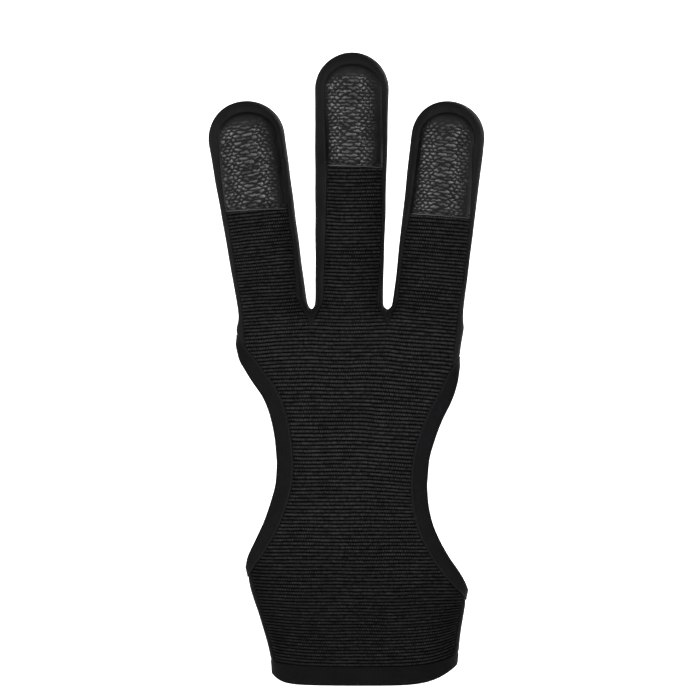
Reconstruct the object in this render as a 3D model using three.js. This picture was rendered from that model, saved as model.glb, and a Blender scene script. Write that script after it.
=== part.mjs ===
// A three-finger archery glove for a right hand, in the rounded form that it has when it is worn with the fingers spread.
// Two cloth panels meet in a seam on the palm side of the fingers. The ribbed palm panel lies inside the seam, and the
// smooth back panel wraps round the sides of the fingers to it. The glove is open at the little finger's side and at the
// thumb's side. A folded tape binds each of these openings, a hem binds the wrist, and a leather pad covers each fingertip.
//
// Millimetres. +Z points along the middle finger and +X to the thumb's side, and the palm faces -Y. The origin is the
// middle of the wrist opening, level with the lowest point of the hem.
import * as THREE from "three";

// Heights above the hem, and the gaps between the fingers.
const WEB_HEIGHT = 113.4;
const RING_GAP = 2.4;
const INDEX_GAP = 3.1;
const MIDDLE_OFFSET = -4.5;

// Each finger: its length above the web, half its width and depth at foot and tip, its lean from upright in degrees, how
// far its tip bends to the palm, its pad's length, and how far its seam lies inside its outline at the tip and the foot.
const fingers = {
  ring: { length: 62.1, footHalf: 10.35, tipHalf: 11.5, footDepth: 10.3, tipDepth: 9.0, lean: -8.7, bend: 3.0, pad: 29.4, seamTip: 3.0, seamLeft: 1.2, seamRight: 2.9 },
  middle: { length: 76.5, footHalf: 10.0, tipHalf: 11.1, footDepth: 10.4, tipDepth: 9.0, lean: 0.75, bend: 3.4, pad: 30.6, seamTip: 3.1, seamLeft: 2.1, seamRight: 1.9 },
  index: { length: 62.0, footHalf: 10.55, tipHalf: 11.05, footDepth: 10.4, tipDepth: 9.0, lean: 6.6, bend: 3.0, pad: 31.0, seamTip: 3.0, seamLeft: 1.2, seamRight: 1.5 },
};
const SEAM_TOP = 3.8; // from the tip of a finger down to its seam
const SEAM_TIP_HEIGHT = 5.1; // from a web down to the tip of the seam under it

// The hand's section: its reach to the little finger's side and to the thumb's side, and half its depth.
const WRIST = { left: 27.4, right: 27.3, depth: 19.2 };
const HEEL = { left: 35.4, right: 31.2, depth: 17.6 };
const PALM = { left: 46.0, right: 38.0, depth: 15.0 };
const KNUCKLE_DEPTH = 11.0;

// The side openings: heights of the top, waist and bottom, and the waist's distance from the wrist's middle line.
const PINKY_OPENING = { side: -1, top: 102.0, waist: 67.0, bottom: 36.0, waistReach: 26.1 };
const THUMB_OPENING = { side: 1, top: 95.5, waist: 60.5, bottom: 29.2, waistReach: 18.9 };

// Walls, tape, hem and clearance.
const KNIT_WALL = 1.4;
const BACK_WALL = 1.2;
const PAD_WALL = 1.0;
const PAD_INSET = 0.3; // from the seam to the pad's edge
const TAPE_WIDTH = 5.2;
const TAPE_LIP = 0.5; // how far tape and hem stand out from the cloth that they fold over
const HEM_HEIGHT = 5.8;
const HEM_RISE = 3.6; // how much higher the hem lies at the sides of the wrist
const CUFF_SEAM_LEFT = 1.5; // from the outline to the cuff's seams, at the hem
const CUFF_SEAM_RIGHT = 2.6;
const GAP = 0.3;

// Shape of the form: how squarely the hand's section is rounded, how sharply the fingers run into the palm, how far they
// run on inside it, and how the palm's top is rounded off between them.
const SQUARENESS = 2.4;
const BLEND = 10;
const FINGER_ROOT = 25;
const WEB_ROUND = 6.4;
const WEB_FILL = 0.3;

// Steps of the meshes.
const FAN = 8; // across a finger's palm side and round its tip
const LEG_ROWS = 6; // up a finger
const LOOP = 16; // up one side of an opening
const BACK_COLUMNS = 24; // across the back from side to side
const CUFF_ROWS = 5;
const TOP_ROWS = 3; // from the openings to the foot of the fingers
const HEM_STEPS = 48;

const radians = THREE.MathUtils.degToRad;
const lerp = THREE.MathUtils.lerp;

// The feet of the fingers stand side by side, each a gap from the next.
function placeFinger(finger, footX) {
  finger.footX = footX;
  finger.sin = Math.sin(radians(finger.lean));
  finger.cos = Math.cos(radians(finger.lean));
  finger.reach = (finger.length - finger.tipHalf) / finger.cos; // foot to the middle of the round tip
}
const footSpan = (finger) => finger.footHalf / Math.cos(radians(finger.lean));
placeFinger(fingers.middle, MIDDLE_OFFSET);
placeFinger(fingers.ring, MIDDLE_OFFSET - footSpan(fingers.middle) - RING_GAP - footSpan(fingers.ring));
placeFinger(fingers.index, MIDDLE_OFFSET + footSpan(fingers.middle) + INDEX_GAP + footSpan(fingers.index));
const fingerList = [fingers.ring, fingers.middle, fingers.index];
const KNUCKLES = {
  left: footSpan(fingers.ring) - fingers.ring.footX,
  right: footSpan(fingers.index) + fingers.index.footX,
  depth: KNUCKLE_DEPTH,
};
const webs = [
  { x: (fingers.ring.footX + footSpan(fingers.ring) + MIDDLE_OFFSET - footSpan(fingers.middle)) / 2 },
  { x: (fingers.index.footX - footSpan(fingers.index) + MIDDLE_OFFSET + footSpan(fingers.middle)) / 2 },
];

// The hand's sections: height as a share of the web's, and each reach as a share of the named section's.
const SECTIONS = [
  { up: 0.0, of: WRIST, left: 1.0, right: 1.0, depth: 1.0 },
  { up: 0.06, of: WRIST, left: 1.015, right: 1.025, depth: 1.0 },
  { up: 0.18, of: HEEL, left: 0.88, right: 0.95, depth: 1.06 },
  { up: 0.255, of: HEEL, left: 0.96, right: 1.0, depth: 1.03 },
  { up: 0.315, of: HEEL, left: 1.003, right: 1.06, depth: 1.0 },
  { up: 0.42, of: PALM, left: 0.87, right: 0.94, depth: 1.07 },
  { up: 0.6, of: PALM, left: 1.0, right: 1.0, depth: 1.0 },
  { up: 0.76, of: PALM, left: 0.97, right: 0.87, depth: 0.97 },
  { up: 0.84, of: KNUCKLES, left: 1.085, right: 0.955, depth: 1.24 },
  { up: 0.9, of: KNUCKLES, left: 1.01, right: 0.935, depth: 1.14 },
  { up: 0.95, of: KNUCKLES, left: 0.985, right: 0.95, depth: 1.06 },
  { up: 1.0, of: KNUCKLES, left: 0.985, right: 0.975, depth: 1.0 },
];

// The openings' edges seen from the palm: how far up from the waist to the top or bottom, and how far out to the outline.
const PINKY_EDGE = {
  upper: [[0, 0], [0.19, 0.045], [0.37, 0.14], [0.54, 0.31], [0.71, 0.63], [0.8, 0.79], [0.88, 0.92], [1, 1]],
  lower: [[0, 0], [0.17, 0.035], [0.36, 0.19], [0.56, 0.42], [0.75, 0.71], [0.9, 0.93], [1, 1]],
};
const THUMB_EDGE = {
  upper: [[0, 0], [0.21, 0.065], [0.38, 0.23], [0.55, 0.46], [0.72, 0.76], [0.81, 0.88], [0.9, 0.96], [1, 1]],
  lower: [[0, 0], [0.15, 0.025], [0.34, 0.12], [0.53, 0.32], [0.72, 0.59], [0.82, 0.77], [0.91, 0.91], [1, 1]],
};

// A smooth curve through points [x, y] that doesn't swing past them.
function smoothCurve(points) {
  const slopes = points.slice(1).map((p, i) => (p[1] - points[i][1]) / (p[0] - points[i][0]));
  const tangents = points.map((p, i) => {
    if (i === 0) return slopes[0];
    if (i === points.length - 1) return slopes[i - 1];
    const product = slopes[i - 1] * slopes[i];
    return product <= 0 ? 0 : (2 * product) / (slopes[i - 1] + slopes[i]);
  });
  return (x) => {
    const i = Math.max(0, Math.min(points.length - 2, points.findIndex((p) => p[0] > x) - 1));
    const last = x >= points[points.length - 1][0] ? points.length - 2 : i;
    const width = points[last + 1][0] - points[last][0];
    const t = THREE.MathUtils.clamp((x - points[last][0]) / width, 0, 1);
    const rest = 1 - t;
    return (
      points[last][1] * rest * rest * (1 + 2 * t) +
      points[last + 1][1] * t * t * (3 - 2 * t) +
      width * t * rest * (tangents[last] * rest - tangents[last + 1] * t)
    );
  };
}
const sectionCurve = (name) => smoothCurve(SECTIONS.map((row) => [row.up * WEB_HEIGHT, row[name] * row.of[name]]));
const leftReach = sectionCurve("left");
const rightReach = sectionCurve("right");
const halfDepth = sectionCurve("depth");

// How far out a point is in one finger, or in the hand: 1 on its surface and less inside it.
function fingerMeasure(finger, p) {
  const dx = p.x - finger.footX;
  const dz = p.z - WEB_HEIGHT;
  const along = dx * finger.sin + dz * finger.cos;
  const across = dx * finger.cos - dz * finger.sin;
  const share = THREE.MathUtils.clamp(along / finger.reach, 0, 1);
  let beyond = 0;
  if (along > finger.reach) beyond = (along - finger.reach) / finger.tipHalf;
  if (along < 0) beyond = along / FINGER_ROOT;
  return Math.hypot(
    across / lerp(finger.footHalf, finger.tipHalf, share),
    (p.y + finger.bend * share * share) / lerp(finger.footDepth, finger.tipDepth, share),
    beyond,
  );
}

function handMeasure(p) {
  const left = leftReach(p.z);
  const right = rightReach(p.z);
  const sideways = Math.abs(p.x - (right - left) / 2) / ((right + left) / 2);
  const forward = Math.abs(p.y) / halfDepth(p.z);
  const around = (sideways ** SQUARENESS + forward ** SQUARENESS) ** (1 / SQUARENESS);
  const above = Math.max(0, p.z - (WEB_HEIGHT - WEB_FILL - WEB_ROUND)) / WEB_ROUND;
  return Math.hypot(around, above);
}

// The whole form: the hand and the fingers run smoothly into each other.
function measure(p) {
  const parts = [handMeasure(p), ...fingerList.map((finger) => fingerMeasure(finger, p))];
  return parts.reduce((sum, part) => sum + Math.max(part, 0.1) ** -BLEND, 0) ** (-1 / BLEND);
}

function slope(p) {
  const step = 0.5;
  const along = (axis) => {
    const ahead = p.clone();
    const behind = p.clone();
    ahead[axis] += step;
    behind[axis] -= step;
    return (measure(ahead) - measure(behind)) / (2 * step);
  };
  return new THREE.Vector3(along("x"), along("y"), along("z"));
}

// The form's surface in a direction from a point inside it: where the direction first leaves the form.
const MARCH_STEP = 0.8;
function cast(origin, direction) {
  const at = (distance) => origin.clone().addScaledVector(direction, distance);
  let outside = MARCH_STEP;
  while (measure(at(outside)) < 1) outside += MARCH_STEP;
  let inside = outside - MARCH_STEP;
  for (let i = 0; i < 16; i++) {
    const middle = (inside + outside) / 2;
    if (measure(at(middle)) < 1) inside = middle;
    else outside = middle;
  }
  return at(inside);
}

// The nearest point of the form's surface to a point close to it.
const FARTHEST_STEP = 3;
function settle(p) {
  const found = p.clone();
  for (let i = 0; i < 8; i++) {
    const gradient = slope(found);
    const step = THREE.MathUtils.clamp((1 - measure(found)) / gradient.length(), -FARTHEST_STEP, FARTHEST_STEP);
    found.addScaledVector(gradient.normalize(), step);
  }
  return found;
}

const PALM_SIDE = new THREE.Vector3(0, -1, 0);
const BACK_SIDE = new THREE.Vector3(0, 1, 0);
const handMiddle = (z) => (rightReach(z) - leftReach(z)) / 2;
const palmPoint = (x, z) => cast(new THREE.Vector3(x, 0, z), PALM_SIDE);
const outline = (side, z) => cast(new THREE.Vector3(handMiddle(z), 0, z), new THREE.Vector3(side, 0, 0)).x;
const FACING = 5; // a point farther than this from the middle plane lies on the palm's side or the back
function between(a, b, share) {
  const p = a.clone().lerp(b, share);
  if (Math.abs(p.y) < FACING) return settle(p);
  return cast(new THREE.Vector3(p.x, 0, p.z), p.y < 0 ? PALM_SIDE : BACK_SIDE);
}

// A point on a finger's own frame: along it, across it and through it.
function inFinger(finger, along, across, through) {
  const share = THREE.MathUtils.clamp(along / finger.reach, 0, 1);
  return new THREE.Vector3(
    finger.footX + along * finger.sin + across * finger.cos,
    through - finger.bend * share * share,
    WEB_HEIGHT + along * finger.cos - across * finger.sin,
  );
}
const halfWidthAt = (finger, along) => lerp(finger.footHalf, finger.tipHalf, THREE.MathUtils.clamp(along / finger.reach, 0, 1));
const halfDepthAt = (finger, along) => lerp(finger.footDepth, finger.tipDepth, THREE.MathUtils.clamp(along / finger.reach, 0, 1));

// Half the width inside the seam on one side of a finger, less an extra inset.
function seamHalf(finger, side, along, inset) {
  const foot = side < 0 ? finger.seamLeft : finger.seamRight;
  const share = smoothstep(along / (finger.reach - finger.pad + finger.tipHalf));
  return halfWidthAt(finger, along) - lerp(foot, finger.seamTip, share) - inset;
}
function smoothstep(t) {
  const share = THREE.MathUtils.clamp(t, 0, 1);
  return share * share * (3 - 2 * share);
}

// A sheet of quads whose corners are shared points. It becomes a closed solid by giving it a thickness.
class Sheet {
  constructor() {
    this.points = [];
    this.index = new Map();
    this.faces = [];
  }
  corner(point) {
    if (!this.index.has(point)) {
      this.index.set(point, this.points.length);
      this.points.push(point);
    }
    return this.index.get(point);
  }
  addGrid(rows) {
    for (let i = 0; i + 1 < rows.length; i++)
      for (let j = 0; j + 1 < rows[i].length; j++) {
        const corners = [rows[i][j], rows[i][j + 1], rows[i + 1][j + 1], rows[i + 1][j]];
        const face = corners.map((point) => this.corner(point)).filter((c, k, all) => c !== all[(k + 1) % all.length]);
        if (face.length > 2) this.faces.push(face);
      }
    return this;
  }
  // outer and inner give how far a point's two faces lie from the form, outwards.
  solid(outer, inner) {
    const normals = this.points.map((point) => slope(point).normalize());
    const layer = (offset) => this.points.map((point, i) => point.clone().addScaledVector(normals[i], offset(point)));
    const vertices = [...layer(outer), ...layer(inner)];
    const count = this.points.length;
    const triangles = [];
    const sides = new Map();
    for (const face of this.faces) {
      for (let i = 1; i + 1 < face.length; i++) {
        triangles.push([face[0], face[i], face[i + 1]]);
        triangles.push([face[0] + count, face[i + 1] + count, face[i] + count]);
      }
      face.forEach((a, i) => {
        const b = face[(i + 1) % face.length];
        if (sides.has(`${b},${a}`)) sides.delete(`${b},${a}`);
        else sides.set(`${a},${b}`, [a, b]);
      });
    }
    // The edge's walls are all cut along the diagonal from their higher outer corner, so that two panels' walls match.
    for (const [a, b] of sides.values()) {
      if (this.points[a].z < this.points[b].z) triangles.push([b, a, a + count], [b, a + count, b + count]);
      else triangles.push([b, a, b + count], [a, a + count, b + count]);
    }
    return closedGeometry(vertices, triangles);
  }
}

// A geometry whose faces point out, whichever way round its triangles were listed.
function closedGeometry(vertices, triangles) {
  const volume = triangles.reduce((sum, [a, b, c]) => sum + vertices[a].dot(vertices[b].clone().cross(vertices[c])), 0);
  const order = volume < 0 ? triangles.map(([a, b, c]) => [a, c, b]) : triangles;
  const geometry = new THREE.BufferGeometry();
  geometry.setAttribute("position", new THREE.Float32BufferAttribute(vertices.flatMap((v) => [v.x, v.y, v.z]), 3));
  geometry.setIndex(order.flat());
  geometry.computeVertexNormals();
  return geometry;
}

// An opening's edge as a closed loop: up the palm side from its bottom, and down the back. inset moves it into the cloth.
// The tape narrows where it turns round the side of the hand.
function openingLoop(opening, edge, inset) {
  const outAt = (z) => {
    const end = z > opening.waist ? opening.top : opening.bottom;
    const shares = z > opening.waist ? edge.upper : edge.lower;
    const out = smoothCurve(shares)((z - opening.waist) / (end - opening.waist));
    return lerp(opening.side * opening.waistReach, outline(opening.side, end), out);
  };
  const palmSide = [];
  for (let k = 0; k <= LOOP; k++) {
    const z = lerp(opening.bottom, opening.top, (1 - Math.cos((Math.PI * k) / LOOP)) / 2);
    const atSide = k === 0 || k === LOOP;
    palmSide.push(atSide ? new THREE.Vector3(outAt(z), 0, z) : palmPoint(outAt(z), z));
  }
  const mirrored = palmSide.slice(1, -1).reverse().map((p) => new THREE.Vector3(p.x, -p.y, p.z));
  const edgeLoop = [...palmSide, ...mirrored];
  return edgeLoop.map((p, k) => {
    const before = edgeLoop[(k + edgeLoop.length - 1) % edgeLoop.length];
    const after = edgeLoop[(k + 1) % edgeLoop.length];
    const intoCloth = after.clone().sub(before).cross(slope(p)).normalize().multiplyScalar(-opening.side);
    const height = (p.z - opening.bottom) / (opening.top - opening.bottom);
    const narrowing = 1 - 0.35 * Math.abs(2 * height - 1) ** 6;
    return settle(p.clone().addScaledVector(intoCloth, inset * narrowing));
  });
}

// Where the seam between the two panels meets a tape: on the palm side, near the loop's bottom and top.
const LOW_JOINT = 3;
const HIGH_JOINT = LOOP - 2;
const clothLoops = {
  left: openingLoop(PINKY_OPENING, PINKY_EDGE, TAPE_WIDTH + GAP),
  right: openingLoop(THUMB_OPENING, THUMB_EDGE, TAPE_WIDTH + GAP),
};
// A point of a cloth loop, moved half the gap along it at a joint, so that the panels don't touch there.
function atJoint(loop, joint, towards) {
  const next = loop[joint + towards];
  return between(loop[joint], next, GAP / 2 / loop[joint].distanceTo(next));
}

// The hem's edge is lowest in the middle of the palm side and of the back.
function hemHeight(x, base) {
  const sideways = Math.abs(x - handMiddle(0)) / ((leftReach(0) + rightReach(0)) / 2);
  return base + HEM_RISE * Math.min(sideways, 1) ** 5;
}
// A point on the cuff at an angle round it: 0 at the little finger's side, 90 at the back and 180 at the thumb's side.
function cuffPoint(degrees, base) {
  const angle = radians(degrees);
  const squared = (value) => Math.sign(value) * Math.abs(value) ** (2 / SQUARENESS);
  const reach = (leftReach(base) + rightReach(base)) / 2;
  const x = handMiddle(base) - reach * squared(Math.cos(angle));
  const z = hemHeight(x, base);
  return settle(new THREE.Vector3(x, halfDepth(z) * squared(Math.sin(angle)), z));
}
function cuffSeam(side, inset) {
  const base = HEM_HEIGHT + GAP;
  const x = outline(side, base + HEM_RISE) - side * inset;
  return palmPoint(x, hemHeight(x, base));
}

// Evenly shared rows between two rows of points, settled on the form.
function rowsBetween(first, last, steps) {
  const rows = [first];
  for (let i = 1; i < steps; i++) rows.push(first.map((p, j) => between(p, last[j], i / steps)));
  return [...rows, last];
}

// The palm side of a finger inside its seam: rows from a distance along it up to the round end.
function tongue(finger, inset, from, rowCount) {
  const rows = [];
  const across = (along, j) => {
    const turn = Math.sin(radians((180 * j) / FAN - 90));
    return turn * seamHalf(finger, Math.sign(turn), along, inset);
  };
  const surface = (along, acrossAxis) => cast(inFinger(finger, along, acrossAxis, 0), PALM_SIDE);
  for (let i = 0; i <= rowCount; i++) {
    const along = lerp(from, finger.reach, i / rowCount);
    rows.push(Array.from({ length: FAN + 1 }, (_, j) => surface(along, across(along, j))));
  }
  const straightEnd = rows[rowCount];
  for (const share of [0.5, 0.85, 1]) {
    const rise = share * (finger.tipHalf - SEAM_TOP - inset);
    rows.push(
      straightEnd.map((end, j) => {
        const lift = rise * Math.cos(radians((180 * j) / FAN - 90));
        return j === 0 || j === FAN ? end : surface(finger.reach + lift, across(finger.reach, j));
      }),
    );
  }
  return rows;
}

// The feet of the fingers, just above the webs, where the finger's rows meet the hand's.
const FOOT = 2;
// Angles round a finger from its seam on the palm side to the middle of its back. The third is its side.
function roundAngles(seamAngle) {
  return [-seamAngle, -seamAngle / 2, 0, 22.5, 45, 67.5, 90];
}
const SIDE = 2;
const WEB_EDGE = 4; // the angle at which the web meets the back
function seamAngle(halfInside, half) {
  return THREE.MathUtils.radToDeg(Math.acos(halfInside / half));
}

function legRow(finger, side, along, inset) {
  const half = halfWidthAt(finger, along);
  const angles = roundAngles(seamAngle(seamHalf(finger, side, along, inset), half));
  return angles.map((degrees) => {
    const angle = radians(degrees);
    const axis = inFinger(finger, along, 0, 0);
    const target = inFinger(finger, along, side * half * Math.cos(angle), halfDepthAt(finger, along) * Math.sin(angle));
    return cast(axis, target.sub(axis).normalize());
  });
}

// The tip's rows fan from one side over the top to the other, each from the seam to the pole at the tip's back.
function tipFan(finger, inset, pole) {
  const rows = [];
  for (let i = 1; i < FAN; i++) {
    const turn = radians((180 * i) / FAN - 90);
    const width = seamHalf(finger, Math.sign(turn), finger.reach, inset);
    const height = finger.tipHalf - SEAM_TOP - inset;
    const inside = (width * height) / Math.hypot(height * Math.sin(turn), width * Math.cos(turn));
    const angles = roundAngles(seamAngle(inside, finger.tipHalf));
    rows.push(
      angles.map((degrees, j) => {
        if (j === angles.length - 1) return pole;
        const out = finger.tipHalf * Math.cos(radians(degrees));
        const through = finger.tipDepth * Math.sin(radians(degrees));
        const centre = inFinger(finger, finger.reach, 0, 0);
        const target = inFinger(finger, finger.reach, out * Math.sin(turn), through);
        target.x += out * Math.cos(turn) * finger.sin;
        target.z += out * Math.cos(turn) * finger.cos;
        return cast(centre, target.sub(centre).normalize());
      }),
    );
  }
  return rows;
}

// The smooth cloth of one finger. Its left and right rows share the points down the middle of the back.
function sleeve(finger, inset) {
  const left = [];
  const right = [];
  for (let i = 0; i <= LEG_ROWS; i++) {
    const along = lerp(FOOT, finger.reach, i / LEG_ROWS);
    left.push(legRow(finger, -1, along, inset));
    right.push(legRow(finger, 1, along, inset));
    right[i][right[i].length - 1] = left[i][left[i].length - 1];
  }
  const pole = left[LEG_ROWS][left[LEG_ROWS].length - 1];
  return { left, right, fan: [left[LEG_ROWS], ...tipFan(finger, inset, pole), right[LEG_ROWS]].reverse() };
}

// A web: from the seam's tip on the palm side, over the top, to the back. Angles are in its upright middle plane.
const WEB_ORIGIN_DEPTH = 9.4; // from the web's height down to the point that the angles turn about
function webMiddle(web, gapShare) {
  const origin = new THREE.Vector3(web.x, 0, WEB_HEIGHT - WEB_ORIGIN_DEPTH);
  const tipAngle = THREE.MathUtils.radToDeg(Math.atan2(WEB_ORIGIN_DEPTH - SEAM_TIP_HEIGHT + gapShare, KNUCKLE_DEPTH));
  return [tipAngle, 52, 90, 112, 132].map((degrees) =>
    cast(origin, new THREE.Vector3(0, -Math.cos(radians(degrees)), Math.sin(radians(degrees)))),
  );
}
// The row across a web at one of its angles, from the finger on its left to the one on its right.
function webRow(leftFoot, middle, rightFoot) {
  return [leftFoot, between(leftFoot, middle, 0.5), middle, between(rightFoot, middle, 0.5), rightFoot];
}

// The smooth back panel.
function makeBackPanel() {
  const sheet = new Sheet();
  const sleeves = fingerList.map((finger) => sleeve(finger, -GAP / 2));
  for (const { left, right, fan } of sleeves) sheet.addGrid(left.slice().reverse()).addGrid(right).addGrid(fan);
  const webRows = webs.map((web, i) => {
    const middles = webMiddle(web, GAP);
    return middles.map((middle, j) => webRow(sleeves[i].right[0][j], middle, sleeves[i + 1].left[0][j]));
  });
  for (const rows of webRows) sheet.addGrid(rows);
  // Feet of the fingers and webs, from the seam on the little finger's side round the back to the thumb's side.
  const [ring, middle, index] = sleeves.map(({ left, right }) => ({ left: left[0], right: right[0] }));
  const backOf = (foot) => [...foot.left.slice(WEB_EDGE), ...foot.right.slice(WEB_EDGE, -1).reverse()];
  const top = [
    ...ring.left,
    ...ring.right.slice(WEB_EDGE, -1).reverse(),
    ...webRows[0][WEB_EDGE].slice(1, -1),
    ...backOf(middle),
    ...webRows[1][WEB_EDGE].slice(1, -1),
    ...index.left.slice(WEB_EDGE),
    ...index.right.slice(0, -1).reverse(),
  ];
  // Rows between the two openings' loops. row 0 joins their top ends and row LOOP their bottom ends.
  const across = (k, bow) => {
    const ends = [clothLoops.left, clothLoops.right].map((loop) => loop[(LOOP + k) % loop.length]);
    return backRow(ends[0], ends[1], bow);
  };
  const topOfOpenings = across(0, ROW_BOW);
  const highEdge = [
    atJoint(clothLoops.left, HIGH_JOINT, 1),
    clothLoops.left[HIGH_JOINT + 1],
    ...topOfOpenings,
    clothLoops.right[HIGH_JOINT + 1],
    atJoint(clothLoops.right, HIGH_JOINT, 1),
  ];
  sheet.addGrid(rowsBetween(top, highEdge, TOP_ROWS));
  const waist = [];
  for (let k = 1; k < LOOP; k++) waist.push(across(k, ROW_BOW * (1 - (2 * k) / LOOP)));
  const bottomOfOpenings = across(LOOP, -ROW_BOW);
  sheet.addGrid([topOfOpenings, ...waist, bottomOfOpenings]);
  const lowEdge = [
    atJoint(clothLoops.left, LOW_JOINT, -1),
    ...clothLoops.left.slice(1, LOW_JOINT).reverse(),
    ...bottomOfOpenings,
    ...clothLoops.right.slice(1, LOW_JOINT),
    atJoint(clothLoops.right, LOW_JOINT, -1),
  ];
  sheet.addGrid(rowsBetween(lowEdge, backHemRow(), CUFF_ROWS));
  return sheet.solid(() => 0, () => -BACK_WALL);
}
// A row across the back between two points at the sides of the hand or further round. bow raises its middle.
const ROW_BOW = 2.5;
function backRow(start, end, bow) {
  const angleOf = (p) => {
    const squared = (value) => Math.sign(value) * Math.abs(value) ** (SQUARENESS / 2);
    const reach = (leftReach(p.z) + rightReach(p.z)) / 2;
    return Math.atan2(squared(Math.max(0, p.y) / halfDepth(p.z)), squared((handMiddle(p.z) - p.x) / reach));
  };
  const row = [start];
  for (let i = 1; i < BACK_COLUMNS; i++) {
    const share = i / BACK_COLUMNS;
    const angle = lerp(angleOf(start), angleOf(end), share);
    const z = lerp(start.z, end.z, share) + bow * Math.sqrt(Math.sin(Math.PI * share));
    const squared = (value) => Math.sign(value) * Math.abs(value) ** (2 / SQUARENESS);
    const reach = (leftReach(z) + rightReach(z)) / 2;
    row.push(
      settle(new THREE.Vector3(handMiddle(z) - reach * squared(Math.cos(angle)), halfDepth(z) * squared(Math.sin(angle)), z)),
    );
  }
  return [...row, end];
}
function backHemRow() {
  const base = HEM_HEIGHT + GAP;
  const leftSeam = cuffSeam(-1, CUFF_SEAM_LEFT - GAP / 2);
  const rightSeam = cuffSeam(1, CUFF_SEAM_RIGHT - GAP / 2);
  const sides = [cuffPoint(0, base), cuffPoint(180, base)];
  const back = Array.from({ length: BACK_COLUMNS - 1 }, (_, i) => cuffPoint((180 * (i + 1)) / BACK_COLUMNS, base));
  const onHem = (p) => settle(new THREE.Vector3(p.x, p.y, hemHeight(p.x, base)));
  const fromSeam = (seam, side) => [seam, ...[1, 2].map((step) => onHem(between(seam, side, step / LOW_JOINT)))];
  return [...fromSeam(leftSeam, sides[0]), sides[0], ...back, sides[1], ...fromSeam(rightSeam, sides[1]).reverse()];
}

// The ribbed palm panel, from the hem up to the ends of the fingers under the pads.
function makePalmPanel() {
  const sheet = new Sheet();
  const tongues = fingerList.map((finger) => tongue(finger, GAP / 2, FOOT, LEG_ROWS));
  for (const rows of tongues) sheet.addGrid(rows);
  const feet = tongues.map((rows) => rows[0]);
  const seamTips = webs.map((web, i) => {
    const middle = webMiddle(web, -GAP)[0];
    return webRow(feet[i][FAN], middle, feet[i + 1][0]).slice(1, -1);
  });
  const top = [...feet[0], ...seamTips[0], ...feet[1], ...seamTips[1], ...feet[2]];
  const columns = top.length - 1;
  const rowAcross = (start, end) => {
    const row = [start];
    for (let j = 1; j < columns; j++) row.push(palmPoint(lerp(start.x, end.x, j / columns), lerp(start.z, end.z, j / columns)));
    return [...row, end];
  };
  const [left, right] = [clothLoops.left, clothLoops.right];
  const highRow = rowAcross(atJoint(left, HIGH_JOINT, -1), atJoint(right, HIGH_JOINT, -1));
  const lowRow = rowAcross(atJoint(left, LOW_JOINT, 1), atJoint(right, LOW_JOINT, 1));
  const waist = [];
  for (let k = LOW_JOINT + 1; k < HIGH_JOINT; k++) waist.push(rowAcross(left[k], right[k]));
  const leftSeam = cuffSeam(-1, CUFF_SEAM_LEFT + GAP / 2);
  const rightSeam = cuffSeam(1, CUFF_SEAM_RIGHT + GAP / 2);
  const hemRow = [leftSeam];
  for (let j = 1; j < columns; j++) {
    const x = lerp(leftSeam.x, rightSeam.x, j / columns);
    hemRow.push(palmPoint(x, hemHeight(x, HEM_HEIGHT + GAP)));
  }
  hemRow.push(rightSeam);
  sheet.addGrid(rowsBetween(hemRow, lowRow, CUFF_ROWS));
  sheet.addGrid([lowRow, ...waist, highRow]);
  sheet.addGrid(rowsBetween(highRow, top, TOP_ROWS));
  return sheet.solid(() => 0, () => -KNIT_WALL);
}

// A leather pad over the palm side of a fingertip.
function makePad(finger) {
  const from = finger.reach + finger.tipHalf - SEAM_TOP - finger.pad;
  const sheet = new Sheet().addGrid(tongue(finger, PAD_INSET, from, 3));
  return sheet.solid(() => GAP + PAD_WALL, () => GAP);
}

// A tape folded over an edge: thinner along both of its own edges than between them.
const TAPE_EDGE = 0.9; // from a tape's edge to where it has its full thickness
const EDGE_LIP = 0.15;
function tapeSolid(lines) {
  const lips = [EDGE_LIP, TAPE_LIP, TAPE_LIP, EDGE_LIP];
  const lipOf = new Map(lines.flatMap((line, i) => line.map((point) => [point, lips[i]])));
  const sheet = new Sheet().addGrid(lines.map((line) => [...line, line[0]]));
  return sheet.solid((point) => lipOf.get(point), (point) => -KNIT_WALL - lipOf.get(point));
}
function makeBinding(opening, edge) {
  const insets = [0, TAPE_EDGE, TAPE_WIDTH - TAPE_EDGE, TAPE_WIDTH];
  return tapeSolid(insets.map((inset) => openingLoop(opening, edge, inset)));
}
function makeHem() {
  const heights = [0, TAPE_EDGE, HEM_HEIGHT - TAPE_EDGE, HEM_HEIGHT];
  return tapeSolid(
    heights.map((height) => Array.from({ length: HEM_STEPS }, (_, i) => cuffPoint((360 * i) / HEM_STEPS, height))),
  );
}

// Finishes.
const cloth = (color, roughness) => new THREE.MeshStandardMaterial({ color, roughness, metalness: 0, side: THREE.DoubleSide });
const finishes = {
  knit: cloth(0x1e1e1e, 0.9),
  jersey: cloth(0x191919, 0.85),
  tape: cloth(0x161616, 0.8),
  leather: cloth(0x222222, 0.5),
};

const glove = new THREE.Group();
function add(name, geometry, finish) {
  const mesh = new THREE.Mesh(geometry, finish);
  mesh.name = name;
  glove.add(mesh);
}
add("palm_panel", makePalmPanel(), finishes.knit);
add("back_panel", makeBackPanel(), finishes.jersey);
add("ring_tip_pad", makePad(fingers.ring), finishes.leather);
add("middle_tip_pad", makePad(fingers.middle), finishes.leather);
add("index_tip_pad", makePad(fingers.index), finishes.leather);
add("pinky_side_binding", makeBinding(PINKY_OPENING, PINKY_EDGE), finishes.tape);
add("thumb_side_binding", makeBinding(THUMB_OPENING, THUMB_EDGE), finishes.tape);
add("wrist_hem", makeHem(), finishes.tape);

export default glove;
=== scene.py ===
"""An archery glove for three fingers of a right hand: cloth panels, leather tip pads, tapes, a hem, and a stage."""
import math
from types import SimpleNamespace

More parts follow.
